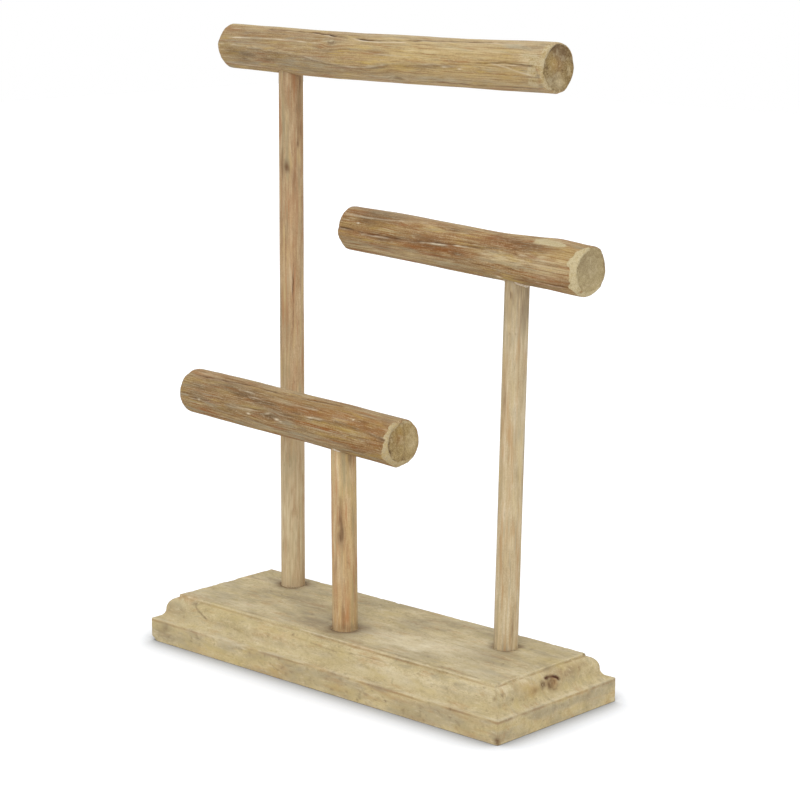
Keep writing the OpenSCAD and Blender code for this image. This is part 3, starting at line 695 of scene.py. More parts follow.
def marks_for(strokes, stains, knots, place, angle, radius, seed):
    """How far a round piece's surface rises, its marks, and the turn that its grain takes."""
    where = wood_space(place, radius, angle)
    rise, turn, marks = np.zeros_like(place), np.zeros_like(place), Marks(place)
    broken = np.clip(0.55 + 0.9 * noise(where, (6, 1.5, 1.5), seed + 1, 3), 0, 1.3)
    wobble = noise(where * (1, 0, 0), 5, seed + 2, 3)
    mm = np.radians(1) * radius

    for kind, width, strength, path in strokes:
        across = turned(angle - curve(path, place)) * mm + 0.2 * wobble * (kind != "pale")
        inside = np.minimum(place - path[0][0], path[-1][0] - place)
        here = strength * fade(inside, -1, 3) * (0.25 + 0.75 * broken)
        if kind == "crack":
            rise -= 0.6 * here * bell(across / width)
            rise += 0.12 * here * bell((across + 1.6 * width) / width)
            marks.add("crack", 0.9 * here * bell(across / (0.9 * width)))
            marks.add("red", 0.6 * here * bell(across / (3 * width)))
            marks.add("lip", 0.35 * here * broken * bell((across + 1.8 * width) / (0.8 * width)))
        elif kind == "edge":
            # An edge is a raised step: its pale lip is paler fibre with a painted highlight, and the dark
            # band along its low side is painted shadow.
            step = np.tanh(across / (0.5 * width))
            rise += here * np.where(across > 0, 0.25 * bell(across / 4), 0.35 * bell(across / 2.5)) * step
            marks.add("lip", 0.45 * here * broken * bell((across - 0.2 * width) / (0.5 * width)))
            marks.add("dark", 0.6 * here * bell((across + width) / (0.9 * width)))
        elif kind == "pale":
            rise += 0.08 * here * bell(across / width)
            marks.add("lip", 0.7 * here * bell(across / (0.8 * width)))
        else:
            rise -= 0.15 * here * bell(across / width)
            marks.add("dark", here * bell(across / width))

    ragged = 0.75 + 0.5 * noise(where, (6, 1.2, 1.2), seed + 3, 2)
    for kind, at, middle, length, width, strength in stains:
        away = np.hypot((place - at) / length, turned(angle - middle) * mm / width)
        marks.add(kind, strength * ragged * bell(away))

    for at, middle, size, depth in knots:
        across = turned(angle - middle) * mm
        away = np.hypot((place - at) / 1.7, across) / size
        rise -= depth * bell(away)
        rise += 0.4 * depth * bell((away - 1.5) / 0.5)
        turn += 0.8 * bell(away / 1.4) * across / mm
        marks.add("dark", 0.6 * bell(away / 0.6))
    return rise, marks, turn


def mottles(rng, low, high, count, length, width):
    """Small faint stains strewn all over a round piece, up to that long and wide."""
    keys = ("red", "grey", "yellow", "dark")
    return [
        (
            keys[k % 4], rng.uniform(low, high), rng.uniform(-180, 180), rng.uniform(0.3, 1) * length,
            rng.uniform(0.4, 1) * width, rng.uniform(0.3, 0.7)
        )
        for k in range(count)
    ]


# Posts

POSTS = ("tall_post", "middle_post", "short_post")


def post_axis(node):
    """The middle of a post's lower end and of its upper end, and the post's radius."""
    co = vertices_of(node)
    end_zone = 0.4
    low = co[co[:, 2] < co[:, 2].min() + end_zone].mean(0)
    high = co[co[:, 2] > co[:, 2].max() - end_zone].mean(0)
    along = (high - low) / np.linalg.norm(high - low)
    off = (co - low) - np.outer((co - low) @ along, along)
    return low, high, np.linalg.norm(off, axis=1).max()


def outward(angle):
    """The way out of an upright post at each angle round it."""
    ring = np.radians(angle)
    return np.stack([np.sin(ring), -np.cos(ring), 0 * ring], -1)


def post(node, seed):
    """A sanded dowel with a fine grain, a little out of true."""
    columns, step, chamfer, ease = 96, 1.0, 0.8, 0.3
    specks, longest, widest = 70, 12, 1.3
    low, high, radius = post_axis(node)
    length = np.linalg.norm(high - low)
    along = (high - low) / length
    shares = np.linspace(0, 1, int(length / step))
    shaft = chamfer + (length - 2 * chamfer) * shares
    place = np.concatenate([[0, 0, ease], shaft, [length - ease, length, length]])
    inner = radius - chamfer
    wide = [1, inner, inner + ease], np.full(len(shares), radius), [inner + ease, inner, 1]
    wide = np.concatenate(wide)[:, None]
    angle = np.broadcast_to(np.arange(columns) * 360 / columns, (len(place), columns))
    height = np.broadcast_to((low[2] + place)[:, None], angle.shape)

    rng = np.random.default_rng(seed)
    stains = stains_of(node) + mottles(rng, low[2], high[2], specks, longest, widest)
    rise, marks, turn = marks_for(STROKES[node], stains, KNOTS[node], height, angle, radius, seed)
    at = wood_space(height, radius, angle)
    rise = rise + 0.05 * noise(at, (30, 5, 5), seed + 7, 2) + 0.03 * noise(at, (14, 0.9, 0.9), seed + 8, 2)
    wide = wide + rise * (wide > inner)
    points = low + along * place[:, None, None] + outward(angle) * wide[..., None]
    grain = wood_space(height, wide, angle - turn) + 40.0 * seed
    fields = {"grain": grain, "rings": wide, **attributes(marks, 0)}
    return skin(node + "_dowel", points, fields, flip=True)


# Bars

# The bars' posts and ends. Rim: how wide and deep each end's rim is rounded. Right and left: knife
# cuts, by angle, width along the bar and depth. Pith: where the rings' middles lie, to the front
# and up. The rest is on the right-hand face. Spots: kind, distance out, angle, size and strength.
# Lines: kind, half width, strength and points. Rim marks: kind, strength, angle, reach in degrees,
# and share of the radius.
BARS = {
    "top_bar": {
        "post": "tall_post", "rim": {"left": (1.6, 1.3), "right": (1.3, 0.9)},
        "right": [(-30, 3.6, 1.3), (8, 3.6, 1.3), (40, 2.2, 0.9), (-64, 2.4, 1)],
        "left": [(-80, 2, 1.2)],
        "pith": [(2.2, -1.5), (-3, -3.2)],
        "face_marks": [
            ("dark", 9.5, 86, 3.6, 1.2), ("dark", 8.5, 125, 3.6, 1.1), ("grey", 7, 95, 5, 0.5),
            ("dark", 6.8, 5, 1, 1), ("dark", 4.2, 195, 0.8, 0.9), ("red", 3, 100, 4, 0.8),
            ("yellow", 4, 60, 4, 0.6), ("grey", 7, -60, 5, 0.4), ("pale", 7, -110, 3, 0.6),
            ("dark", 9, 12, 1.6, 0.6)
        ],
        "face_lines": [
            ("crack", 0.5, 0.5, [(-8.5, 6), (-10.5, 3.4)]),
            ("dark", 0.5, 0.5, [(1.5, -4), (-1, -1), (-1.5, 3), (1, 6)])
        ],
        "rim_marks": [
            ("crack", 0.8, 72, 20, 0.93), ("pale", 0.9, 62, 24, 0.985), ("dark", 0.5, 25, 14, 0.9),
            ("dark", 0.6, 120, 30, 0.97), ("dark", 0.5, -80, 10, 0.96), ("dark", 0.7, 160, 14, 0.97)
        ]
    },
    "middle_bar": {
        "post": "middle_post", "rim": {"left": (2.2, 1.8), "right": (0.9, 0.6)},
        "right": [(46, 1.4, 1), (8, 1, 0.7), (-20, 1.8, 1.4), (-66, 1.8, 1.1), (-100, 1.4, 0.8)],
        "left": [(-60, 2, 0.9)],
        "pith": [(1, 1)],
        "face_marks": [("grey", 3, 90, 9, 0.6), ("grey", 8, 30, 4, 0.5)],
        "face_lines": [
            ("dark", 0.4, 0.4, [(-6, 6), (-2, 8), (3, 7.5), (7, 4)]),
            ("dark", 0.4, 0.3, [(-4, -6), (1, -7), (5, -5)])
        ],
        "rim_marks": [
            ("dark", 0.5, 30, 60, 0.97), ("dark", 0.8, -42, 5, 0.98), ("dark", 0.5, 175, 40, 0.96)
        ]
    },
    "lower_bar": {
        "post": "short_post", "rim": {"left": (2.6, 2.2), "right": (1.9, 1.3)},
        "right": [
            (56, 2.4, 1.2), (14, 3, 1.5), (-24, 2.8, 1.6), (-62, 2.4, 1.4), (100, 1.6, 0.8),
            (262, 1.4, 0.8)
        ],
        "left": [(-85, 1.8, 0.8)],
        "pith": [(3.5, 3)],
        "face_marks": [
            ("dark", 9.5, -28, 2.2, 1), ("dark", 9, 0, 1.6, 0.7), ("dark", 9, 25, 1.6, 0.6),
            ("red", 3, 60, 3, 0.6), ("yellow", 6, 75, 3, 0.6), ("pale", 8, 190, 4, 0.45),
            ("dark", 9.5, 258, 2, 0.8)
        ],
        "face_lines": [
            ("dark", 0.5, 0.5, [(-1, 9.5), (-2.3, 4), (-2, 0), (-2.8, -4), (-1, -8.6)]),
            ("dark", 0.9, 0.4, [(4, 7), (2, 3), (3, -2), (1.5, -6)]),
            ("dark", 0.6, 0.4, [(7, 4), (5, 1), (6, -3)])
        ],
        "rim_marks": [
            ("crack", 0.6, 6, 7, 0.9), ("crack", 1, -22, 8, 0.9), ("dark", 0.5, 20, 34, 0.93),
            ("crack", 0.9, -62, 7, 0.99), ("pale", 0.8, 60, 18, 0.97), ("dark", 0.7, 88, 12, 0.95)
        ]
    }
}
# The rings of points on an end's face, as shares of its radius.
FACE_SHARES = (0.985, 0.96, 0.92, 0.87, 0.81, 0.74, 0.67, 0.6, 0.52, 0.44, 0.36, 0.28, 0.2, 0.12, 0.05)


def bar_axis(node, post_node):
    """A bar's straight middle line: its point over the post, its ways along, front and up, and its ends."""
    low, high, radius = post_axis(post_node)
    co = vertices_of(node)
    clear = co[np.hypot(co[:, 0] - high[0], co[:, 1] - high[1]) > radius + 2]
    table = np.stack([np.ones(len(clear)), clear[:, 0] - high[0]], -1)
    back, back_slope = np.linalg.lstsq(table, clear[:, 1], rcond=None)[0]
    rise, rise_slope = np.linalg.lstsq(table, clear[:, 2], rcond=None)[0]
    along = np.array([1, back_slope, rise_slope])
    along = along / np.linalg.norm(along)
    side = np.cross([0, 0, 1], along)
    side = side / np.linalg.norm(side)
    start = np.array([high[0], back, rise])
    reach = (co - start) @ along
    return start, along, -side, np.cross(along, side), reach.min(), reach.max()


def random_marks(rng, low, high, count):
    """Fissures and raised fibres like those in the photograph, for the sides that it doesn't show."""
    strokes, stains = [], []
    for k in range(count):
        middle = rng.uniform(100, 285)
        start = rng.uniform(low, high - 30)
        end = min(high, start + rng.uniform(25, 90))
        places = np.linspace(start, end, 5)
        angles = middle + np.cumsum(rng.uniform(-6, 6, 5))
        kind = ("crack", "pale", "dark", "edge", "pale")[k % 5]
        width = rng.uniform(0.35, 0.6)
        strokes.append((kind, width, rng.uniform(0.5, 0.9), list(zip(places, angles))))
        key = ("red", "grey", "yellow", "dark", "red", "grey")[k % 6]
        at = (rng.uniform(low, high), rng.uniform(100, 285), rng.uniform(8, 24), rng.uniform(1.5, 3.5))
        stains.append((key, *at, rng.uniform(0.4, 0.7)))
    return strokes, stains


def bar_radius(node, start, along, front, up, place, angle, ends):
    """The solid's radius at each place and angle, with its facets smoothed away."""
    outside, lip_zone, rows, columns = 25, 6.2, 5, 3
    tree = tree_of(node)
    ring = np.radians(angle)[..., None]
    out = front * np.cos(ring) + up * np.sin(ring)
    origin = start + along * place[..., None] + out * outside
    hits = np.full(place.shape, np.nan)
    for index in np.ndindex(place.shape):
        distance = tree.ray_cast(Vector(origin[index]), Vector(-out[index]), outside)[3]
        if distance is not None:
            hits[index] = outside - distance
    sound = (hits > 0.85 * np.nanmedian(hits)) & (place > ends[0] + lip_zone) & (place < ends[1] - lip_zone)
    weight = blurred(sound * 1.0, rows, columns)
    return blurred(np.where(sound, hits, 0), rows, columns) / np.maximum(weight, 1e-6)


def cut_back(radius, inward, angle, cuts):
    """The radius after knife cuts round an end. Each slopes in to the end's face and is a little round."""
    roundness = 0.42
    for middle, width, depth in cuts:
        near = np.cos(np.radians(turned(angle - middle)))
        plane = (radius.mean() - depth + depth * inward / width) / np.maximum(near, 0.2) ** roundness
        radius = np.minimum(radius, np.where(near > 0.2, plane, radius))
    return radius


def rounded_over(radius, inward, width, depth):
    """The radius with its rim rounded off, over that width of the end and by that depth."""
    share = np.clip(1 - inward / width, 0, 1)
    return radius - depth * (1 - np.sqrt(1 - 0.98 * share**2))


def end_face(data, side, rim, angle, cut, seed):
    """An end's face, in rings of points from its rim to its middle, a little rough and dished."""
    shares = np.array(FACE_SHARES)[:, None]
    radius = rim * shares
    angle = np.broadcast_to(angle, radius.shape)
    flat = wood_space(0 * radius, radius, angle)[..., 1:]
    level = np.concatenate([flat, 0 * flat[..., :1]], -1)
    depth = 0.12 + 0.1 * noise(level, 3, seed + 17, 3) + 0.2 * (1 - shares**4)
    spread = noise(level, 2.2, seed + 18, 3)
    marks = Marks(radius)
    marks["cut"] = cut * bell((1 - shares) / 0.09) * np.clip(0.7 + 1.2 * spread, 0, 1)
    marks["dark"] = 0.35 * np.clip(shares - 0.72, 0, 1) / 0.28 * np.clip(0.3 + 1.5 * spread, 0, 1)
    marks["pale"] = np.clip(-0.35 - spread, 0, 0.35)
    if side == "right":
        for kind, away, toward, size, strength in data["face_marks"]:
            spot = away * np.array([math.cos(math.radians(toward)), math.sin(math.radians(toward))])
            marks.add(kind, strength * bell(np.linalg.norm(flat - spot, axis=-1) / size))
        for kind, width, strength, path in data["face_lines"]:
            near = bell(segment_distance(flat, path) / width)
            marks.add(kind, strength * near)
            depth += 0.3 * strength * near
        for kind, strength, toward, reach, share in data["rim_marks"]:
            near = bell(turned(angle - toward) / reach) * bell((shares - share) / 0.045)
            marks.add(kind, strength * near)
            depth += 0.25 * strength * near * (kind != "pale")
    rings = np.min([np.linalg.norm(flat - pith, axis=-1) for pith in data["pith"]], axis=0)
    face = np.ones_like(radius)
    return {"radius": radius, "angle": angle, "depth": depth, "rings": rings, "face": face, **marks}


def bar(node, seed, rows, columns):
    """A peeled branch, following its solid, with its own fissures, fibres, knife cuts and end grain."""
    data = BARS[node]
    start, along, front, up, low, high = bar_axis(node, data["post"])
    rng = np.random.default_rng(seed)
    fissures, specks, longest, widest = 22, 130, 10, 1.5
    strokes, stains = random_marks(rng, low, high, fissures)
    stains = stains_of(node) + stains + mottles(rng, low, high, specks, longest, widest)

    # The rows lie closer together towards the ends.
    packing = 0.5
    t = np.linspace(0, 1, rows)
    place = low + (high - low) * (t - packing * np.sin(2 * np.pi * t) / (2 * np.pi))
    place, angle = np.meshgrid(place, np.arange(columns) * 360 / columns, indexing="ij")
    radius = bar_radius(node, start, along, front, up, place, angle, (low, high))
    first, last = np.flatnonzero(radius[:, 0] >= 1)[[0, -1]]
    radius[:first] = radius[first]
    radius[last + 1 :] = radius[last]

    rise, marks, turn = marks_for(STROKES[node] + strokes, stains, KNOTS[node], place, angle, radius, seed)
    at = wood_space(place, radius, angle - turn)
    rise += 0.16 * noise(at, (26, 3.2, 3.2), seed + 11, 2) + 0.07 * noise(at, (12, 0.9, 0.9), seed + 12, 2)
    rise += 0.10 * np.abs(noise(at, (34, 1.8, 1.8), seed + 13)) - 0.02
    # Paler along the top of each bar: a painted highlight, partly weathering.
    top_sheen_and_weathering = bell(turned(angle - 88) / 34) * (0.7 + 0.5 * noise(at, (14, 3, 3), seed + 14, 2))
    marks.add("pale", 0.32 * top_sheen_and_weathering)
    for at_place, at_angle, length, width in FLECKS[node]:
        across = turned(angle - at_angle) * np.radians(1) * radius
        marks.add("lip", bell(np.hypot((place - at_place) / (0.8 * length), across / (0.75 * width))))

    body = radius + rise
    rough = 0.5 * noise(at, (2, 1.6, 1.6), seed + 15, 3) + 0.6 * noise(at, (3, 6, 6), seed + 16)
    patchy = np.clip(0.8 + 0.45 * noise(at, 3.2, seed + 19, 2), 0.2, 1)
    for side, inward in (("left", place - low), ("right", high - place)):
        shaved = cut_back(body, inward + rough * fade(inward, 0, 1.5), angle, data[side])
        marks.add("cut", fade(body - shaved, 0.02, 0.3) * patchy)
        body = rounded_over(np.minimum(body, shaved), inward, *data["rim"][side])

    # The bark side is joined to the two faces, row by row.
    faces = []
    for side, row, inward in (("left", 0, 1), ("right", -1, -1)):
        face = end_face(data, side, body[row], angle[row], marks["cut"][row], seed)
        face["place"] = place[row, 0] + inward * face["depth"]
        face["turn"] = np.broadcast_to(turn[row], face["radius"].shape)
        faces.append(face)
    bark = {"radius": body, "angle": angle, "place": place, "turn": turn, "rings": body, "face": 0 * body}
    bark.update(marks)
    whole = {key: np.concatenate([faces[0][key][::-1], bark[key], faces[1][key]]) for key in bark}

    ring = np.radians(whole["angle"])[..., None]
    out = front * np.cos(ring) + up * np.sin(ring)
    lo, hi = (np.array(corner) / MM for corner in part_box(node))
    points = np.clip(start + along * whole["place"][..., None] + out * whole["radius"][..., None], lo, hi)
    grain = wood_space(whole["place"], whole["radius"], whole["angle"] - whole["turn"]) + 60.0 * seed
    fields = {"grain": grain, "rings": whole["rings"], **attributes(whole, whole["face"])}
    piece = skin(node + "_branch", points, fields)

    foot, head, post_r = post_axis(data["post"])
    up_post = (head - foot) / np.linalg.norm(head - foot)
    return drill(piece, [head - 2 * BAR_SOCKET * up_post], [head], [post_r + GLUE_GAP])


# Beads of glue: the bar, the post, the angles round the post that each runs between, and its size.
BEADS = {
    "middle_glue": ("middle_bar", "middle_post", 26, 100, 1.0),
    "middle_glue_left": ("middle_bar", "middle_post", -62, -28, 0.5),
    "lower_glue": ("lower_bar", "short_post", -18, 34, 0.55),
}


def glue_bead(name, material):
    """Glue squeezed out in the corner between a post and its bar."""
    bar_node, post_node, first, last, size = BEADS[name]
    steps, columns, clear = 32, 12, 0.45
    tree = tree_of(bar_node)
    high, radius = post_axis(post_node)[1:]
    share = np.linspace(0, 1, steps)
    out = outward(first + (last - first) * share)
    feet = high + (radius + clear) * out - (0, 0, 3 * BAR_SOCKET)
    path = np.array([tree.ray_cast(Vector(foot), Vector((0, 0, 1)))[0] for foot in feet]) - (0, 0, 0.1)
    tangent = np.gradient(path, axis=0)
    side = np.cross(tangent / np.linalg.norm(tangent, axis=-1, keepdims=True), out)
    thick = size * np.sqrt(np.clip(np.sin(np.pi * share), 0.01, 1)) * (1 + 0.45 * noise(path, 1.6, 71, 2))
    ring = np.radians(np.arange(columns) * 360 / columns)[:, None]
    round_it = np.cos(ring) * out[:, None] + np.sin(ring) * side[:, None]
    points = path[:, None] + thick[:, None, None] * round_it
    bead = skin(name, points, {})
    bead.data.materials.append(material)
    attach(bead, "root")


def glue():
    """Dried wood glue, pale and a little shiny."""
    material, g = blank_material("glue")
    shader = g.tree.nodes["Principled BSDF"]
    where = g.add("ShaderNodeTexCoord").outputs["Object"]
    spots = g.add("ShaderNodeTexNoise", {"Vector": where, "Scale": 900.0, "Detail": 3.0}).outputs["Fac"]
    colour = g.ramp(spots, [(0.35, tone(190, 168, 138)), (0.6, tone(224, 214, 196))])
    g.tree.links.new(colour, shader.inputs["Base Color"])
    shader.inputs["Roughness"].default_value = 0.45
    return material


# Base board

# Nicks and small knots: x, y, z, half size, depth, and how dark each is.
NICKS = [
    (109.8, -30.6, 24.6, 1, 0.5, 0.6), (109.9, 33, 24.5, 0.8, 0.4, 0.9), (113, -38.7, 19.7, 0.9, 0.5, 0.8),
    (104.5, -36, 22.7, 0.7, 0.25, 0.8), (114.3, -33.9, 20.3, 0.7, 0.2, 0.8),
    (115.2, -27.6, 17, 0.7, 0.2, 0.6), (120.4, -17.8, 12.1, 0.9, 0.35, 0.7),
    (119.8, -29.5, 12.2, 0.7, 0.25, 0.6), (120.5, 6.5, 12.1, 0.8, 0.3, 0.7),
    (-89.1, -44.8, 7.5, 0.5, 0.2, 0.7), (-84.8, -44.8, 9.5, 0.5, 0.2, 0.6),
    (49.1, -44.8, 5.2, 0.5, 0.2, 0.8), (23, -44.8, 4, 0.6, 0.15, 0.7), (91.9, -7, 25, 0.5, 0.25, 1),
    (13.6, -44.3, 12, 1.2, 0.3, 0.7), (-21.7, -37, 22, 0.8, 0.15, 0.8), (20.7, -43.2, 12.3, 0.8, 0.2, 0.6),
    (91.1, -44.8, 11.2, 0.9, 0.25, 0.8), (120.6, -44.4, 1.7, 1.7, 0.5, 1.3),
    (119.8, -44.6, 2.6, 0.9, 0.3, 0.9), (-65.6, 8.5, 25, 0.6, 0.15, 0.8)
]
# Clouds of stain of each kind: x, y, z, half sizes along x, y and z, and strength.
CLOUDS = {
    "grey": [
        (-97, 19, 25, 9, 3, 4, 0.7), (-72, 17, 25, 9, 6, 4, 0.7), (-60, 3, 25, 22, 9, 4, 0.8),
        (-38, -14, 25, 18, 9, 4, 0.9), (-22, -24, 25, 12, 5, 4, 0.7), (6, -19, 25, 9, 7, 4, 0.6),
        (-92, -5, 25, 16, 10, 4, 0.35), (20, 20, 25, 22, 12, 4, 0.6), (60, 28, 25, 22, 9, 4, 0.6),
        (76, 2, 25, 14, 7, 4, 0.7), (95, 18, 25, 10, 8, 4, 0.5), (95, -15, 25, 16, 8, 4, 0.35),
        (-62, -44.8, 9, 14, 3, 4, 0.7), (-25, -44.8, 8, 22, 3, 4, 0.7), (-110, -44.8, 8, 10, 3, 6, 0.5),
        (90, -44.8, 8, 22, 3, 6, 0.5), (45, -44.8, 8, 16, 3, 4, 0.35), (-104, -38, 19, 8, 4, 3, 0.5),
        (-97, -36, 22.6, 3, 2, 1.2, 0.9), (-50, -39, 17, 30, 4, 2, 0.35), (15, -38, 18, 26, 4, 2, 0.35),
        (4, -14, 25, 9, 7, 4, 1), (-18, -12, 25, 10, 9, 3, 0.9), (84, -8, 25, 14, 5, 3, 0.7),
        (-112, -44.8, 8, 9, 3, 5, 0.9), (-108, -39, 18, 9, 4, 4, 0.7), (112, -40, 17, 5, 4, 3, 0.4),
        (100, -44.8, 5, 9, 3, 3, 0.6), (114, 17, 20, 3, 7, 2.5, 0.9), (114, -25, 19, 4, 8, 3, 0.5),
        (120.7, -10, 9, 3, 20, 3, 0.35)
    ],
    "red": [
        (-50, 5, 25, 14, 4, 3, 0.15), (-25, -44.8, 3, 16, 3, 2.2, 0.4), (-22, -38, 21, 8, 3, 1.5, 0.5),
        (-102, -39, 18.5, 5, 3, 1, 0.4), (114.9, 1.6, 18.2, 3.5, 4, 4.4, 1.9),
        (115, 3.6, 18.4, 3, 1.8, 2.2, 1.4), (114, -16, 20, 4, 7, 3, 0.8), (-112, -40, 16, 6, 4, 3, 0.4),
        (60, -44.8, 9, 16, 3, 2, 0.4), (108, -44.8, 9, 8, 3, 2, 0.35), (115, -12, 18, 3, 3.4, 2.8, 1.6),
        (114, 13, 21, 3, 6, 2.4, 1.5), (113.5, 22, 21.5, 3, 6, 2, 0.5), (115, 3, 15, 3, 5, 2, 0.35)
    ],
    "pale": [
        (40, -14, 25, 26, 12, 4, 0.9), (60, 2, 25, 16, 9, 4, 0.6), (-80, -25, 25, 24, 6, 4, 0.5),
        (88, -24, 25, 18, 6, 4, 0.4), (-70, -44.8, 11, 26, 3, 1.4, 0.6), (50, -40, 17, 50, 4, 2.6, 0.6),
        (-60, -40.5, 15, 36, 3, 1.6, 0.5)
    ],
    "yellow": [
        (-80, -44.8, 3, 22, 3, 3, 0.3), (-10, -44.8, 3, 60, 3, 3, 0.35), (30, -44.8, 4, 50, 3, 3, 0.3),
        (-60, -37, 21, 40, 4, 4, 0.5), (-5, -37, 21, 30, 4, 4, 0.5), (114, -16, 20, 4, 8, 4, 0.6),
        (114, 20, 20, 4, 10, 3, 0.5), (115, -8, 17, 4, 8, 4, 0.4), (120.7, 0, 3, 3, 30, 2.5, 0.25)
    ],
    "dark": [
        (-97, -36, 22.8, 2.2, 1.5, 0.8, 0.7), (114.9, 1, 18.9, 2.5, 2.2, 3, 1.6),
        (114.9, 1.6, 16.4, 2.5, 1.4, 1.6, 0.8), (114.4, 1.4, 20.6, 2, 1.4, 1.2, 1.3),
        (3, -12, 25, 4, 4.5, 3, 0.55), (-5, -28, 25, 5, 2.4, 3, 0.5), (-68, 22, 25, 7, 2, 3, 0.3),
        (-30, -20, 25, 16, 3, 3, 0.25), (-22, -23, 25, 9, 3, 3, 0.3), (-16, -10, 25, 6, 5, 3, 0.4),
        (-40, -3, 25, 14, 3, 3, 0.3), (-95, 20, 25, 5, 2, 3, 0.35), (82, -2, 25, 12, 3, 3, 0.3),
        (-56, 2, 25, 24, 5, 3, 0.2), (30, 24, 25, 20, 4, 3, 0.15), (104, 12, 25, 4, 10, 3, 0.2),
        (-112, -44.8, 7, 6, 3, 3, 0.3), (108, -38, 20, 4, 3, 3, 0.25), (114.8, -4.5, 19, 2, 2, 2, 1.4),
        (114, 15, 20.6, 3, 5, 1.8, 0.9), (115, -11, 17.6, 3, 2, 1.4, 0.5),
        (113.5, 26.7, 21.4, 2, 2.5, 1.6, 0.45)
    ]
}
# Thin lines: kind, half width, strength, and the points that each runs through. The lip lines along the
# table's front and right arrises are painted highlights.
LINES = [
    ("crack", 0.75, 1.9, [(113.4, -1.4, 20.9), (113.5, 0.6, 21.6), (113.9, 3.4, 21.4), (114.5, 6.2, 20.3),
        (115, 7.6, 18.9)]), ("dark", 1.1, 1.6, [(114, 0.4, 20.8), (115, -0.2, 18.4), (115.6, 0.2, 16.8)]),
    ("dark", 0.5, 0.6, [(115.9, 1.8, 15.2), (115.8, 4.6, 14.9), (115.3, 6, 16.8)]),
    ("crack", 0.4, 0.7, [(113.9, 3.2, 20.6), (114.8, 3.8, 18.8), (115.3, 3.6, 17.4)]),
    ("dark", 0.45, 0.7, [(-95.5, -35, 23), (-93.3, -37.4, 21.6), (-90.5, -38.4, 20.4),
        (-87.7, -38.8, 19.4), (-83.6, -39.2, 17.6)]),
    ("dark", 0.3, 0.45, [(61.6, -18.9, 25), (65, -17, 25), (69.4, -14.6, 25), (76.1, -9.7, 25)]),
    ("lip", 0.35, 0.6, [(-20, -34, 24.6), (8, -34, 24.5), (37, -34.1, 24.5), (68, -34.1, 24.5),
        (100, -34.1, 24.6)]), ("lip", 0.35, 0.5, [(-104, -34, 24.6), (-74, -34, 24.6), (-50, -34, 24.6)]),
    ("lip", 0.3, 0.4, [(110, -30, 24.6), (110.1, 30, 24.6)]),
    ("dark", 0.3, 0.5, [(-20, -37.6, 21.4), (6, -38.4, 20.2), (25, -37.4, 21.6), (44, -37.2, 21.8)]),
    ("dark", 0.5, 0.6, [(20, -32.4, 25), (45, -31.8, 25), (70, -32.2, 25), (98, -31.9, 25)]),
    ("dark", 0.4, 0.5, [(-80, -32.2, 25), (-50, -31.8, 25), (-28, -32.4, 25)]),
    ("dark", 0.3, 0.4, [(-58, -41, 15), (-30, -40.6, 15.8), (-4, -41, 15.2)])
]
# The two knots that the grain parts round: x, y, z and size.
GRAIN_KNOTS = ((114.9, 2.5, 18.5, 6.5), (-96.5, -36, 22.6, 5.0))


def arc(inset, height, radius, first, last, steps):
    """Points on a quarter round of the moulding: inset from the board's edge, and height."""
    angles = np.radians(np.linspace(first, last, steps + 1))
    return list(zip(inset + radius * np.cos(angles), height + radius * np.sin(angles)))


def moulding(width, thick):
    """The board's section from the middle of its underside, up its edge, to the middle of its top."""
    plinth = thick - QUIRK_H - OVOLO_R - COVE_R
    middle = width / 2 - 0.3
    round_in = EDGE_R + COVE_R + OVOLO_R
    meet = math.degrees(math.acos((round_in - QUIRK_IN) / OVOLO_R))
    rows = [(inset, 0) for inset in np.arange(middle, EDGE_R + 1, -6)]
    rows += arc(EDGE_R, EDGE_R, EDGE_R, 270, 180, 4)
    rows += [(0, z) for z in np.arange(2 * EDGE_R, plinth - 1.5 * EDGE_R, 0.5)]
    rows += arc(EDGE_R, plinth - EDGE_R, EDGE_R, 180, 90, 4)
    rows += arc(EDGE_R, plinth + COVE_R, COVE_R, 270, 360, 14)[1:]
    rows += arc(round_in, plinth + COVE_R, OVOLO_R, 180, 180 - meet, 16)[1:]
    rows += [(QUIRK_IN, z) for z in np.linspace(rows[-1][1] + 0.25, thick - EDGE_R - 0.2, 3)]
    rows += arc(QUIRK_IN + EDGE_R, thick - EDGE_R, EDGE_R, 180, 90, 4)
    rows += [(inset, thick) for inset in np.arange(QUIRK_IN + 2 * EDGE_R, middle, 1.0)]
    return np.array(rows)


def loop(length, width, inset, step):
    """Points round a rectangle with slightly rounded corners, the same number for every inset."""
    corner = CORNER_R * max(0.06, 1 - inset / QUIRK_IN)
    half = np.array([length / 2 - inset, width / 2 - inset])
    count = (int(length / step), int(width / step))
    points = []
    for k, (sx, sy) in enumerate(((1, -1), (1, 1), (-1, 1), (-1, -1))):
        middle = np.array([sx, sy]) * (half - corner)
        for angle in np.radians(np.linspace(0, 90, 5) + 90 * k - 90):
            points.append(middle + corner * np.array([math.cos(angle), math.sin(angle)]))
        after = ((1, 1), (-1, 1), (-1, -1), (1, -1))[k]
        target = np.array(after) * (half - corner)
        outward = corner * np.array([math.cos(math.radians(90 * k)), math.sin(math.radians(90 * k))])
        number = count[1] if k % 2 == 0 else count[0]
        for share in np.arange(1, number) / number:
            points.append((1 - share) * middle + share * target + outward)
    return points


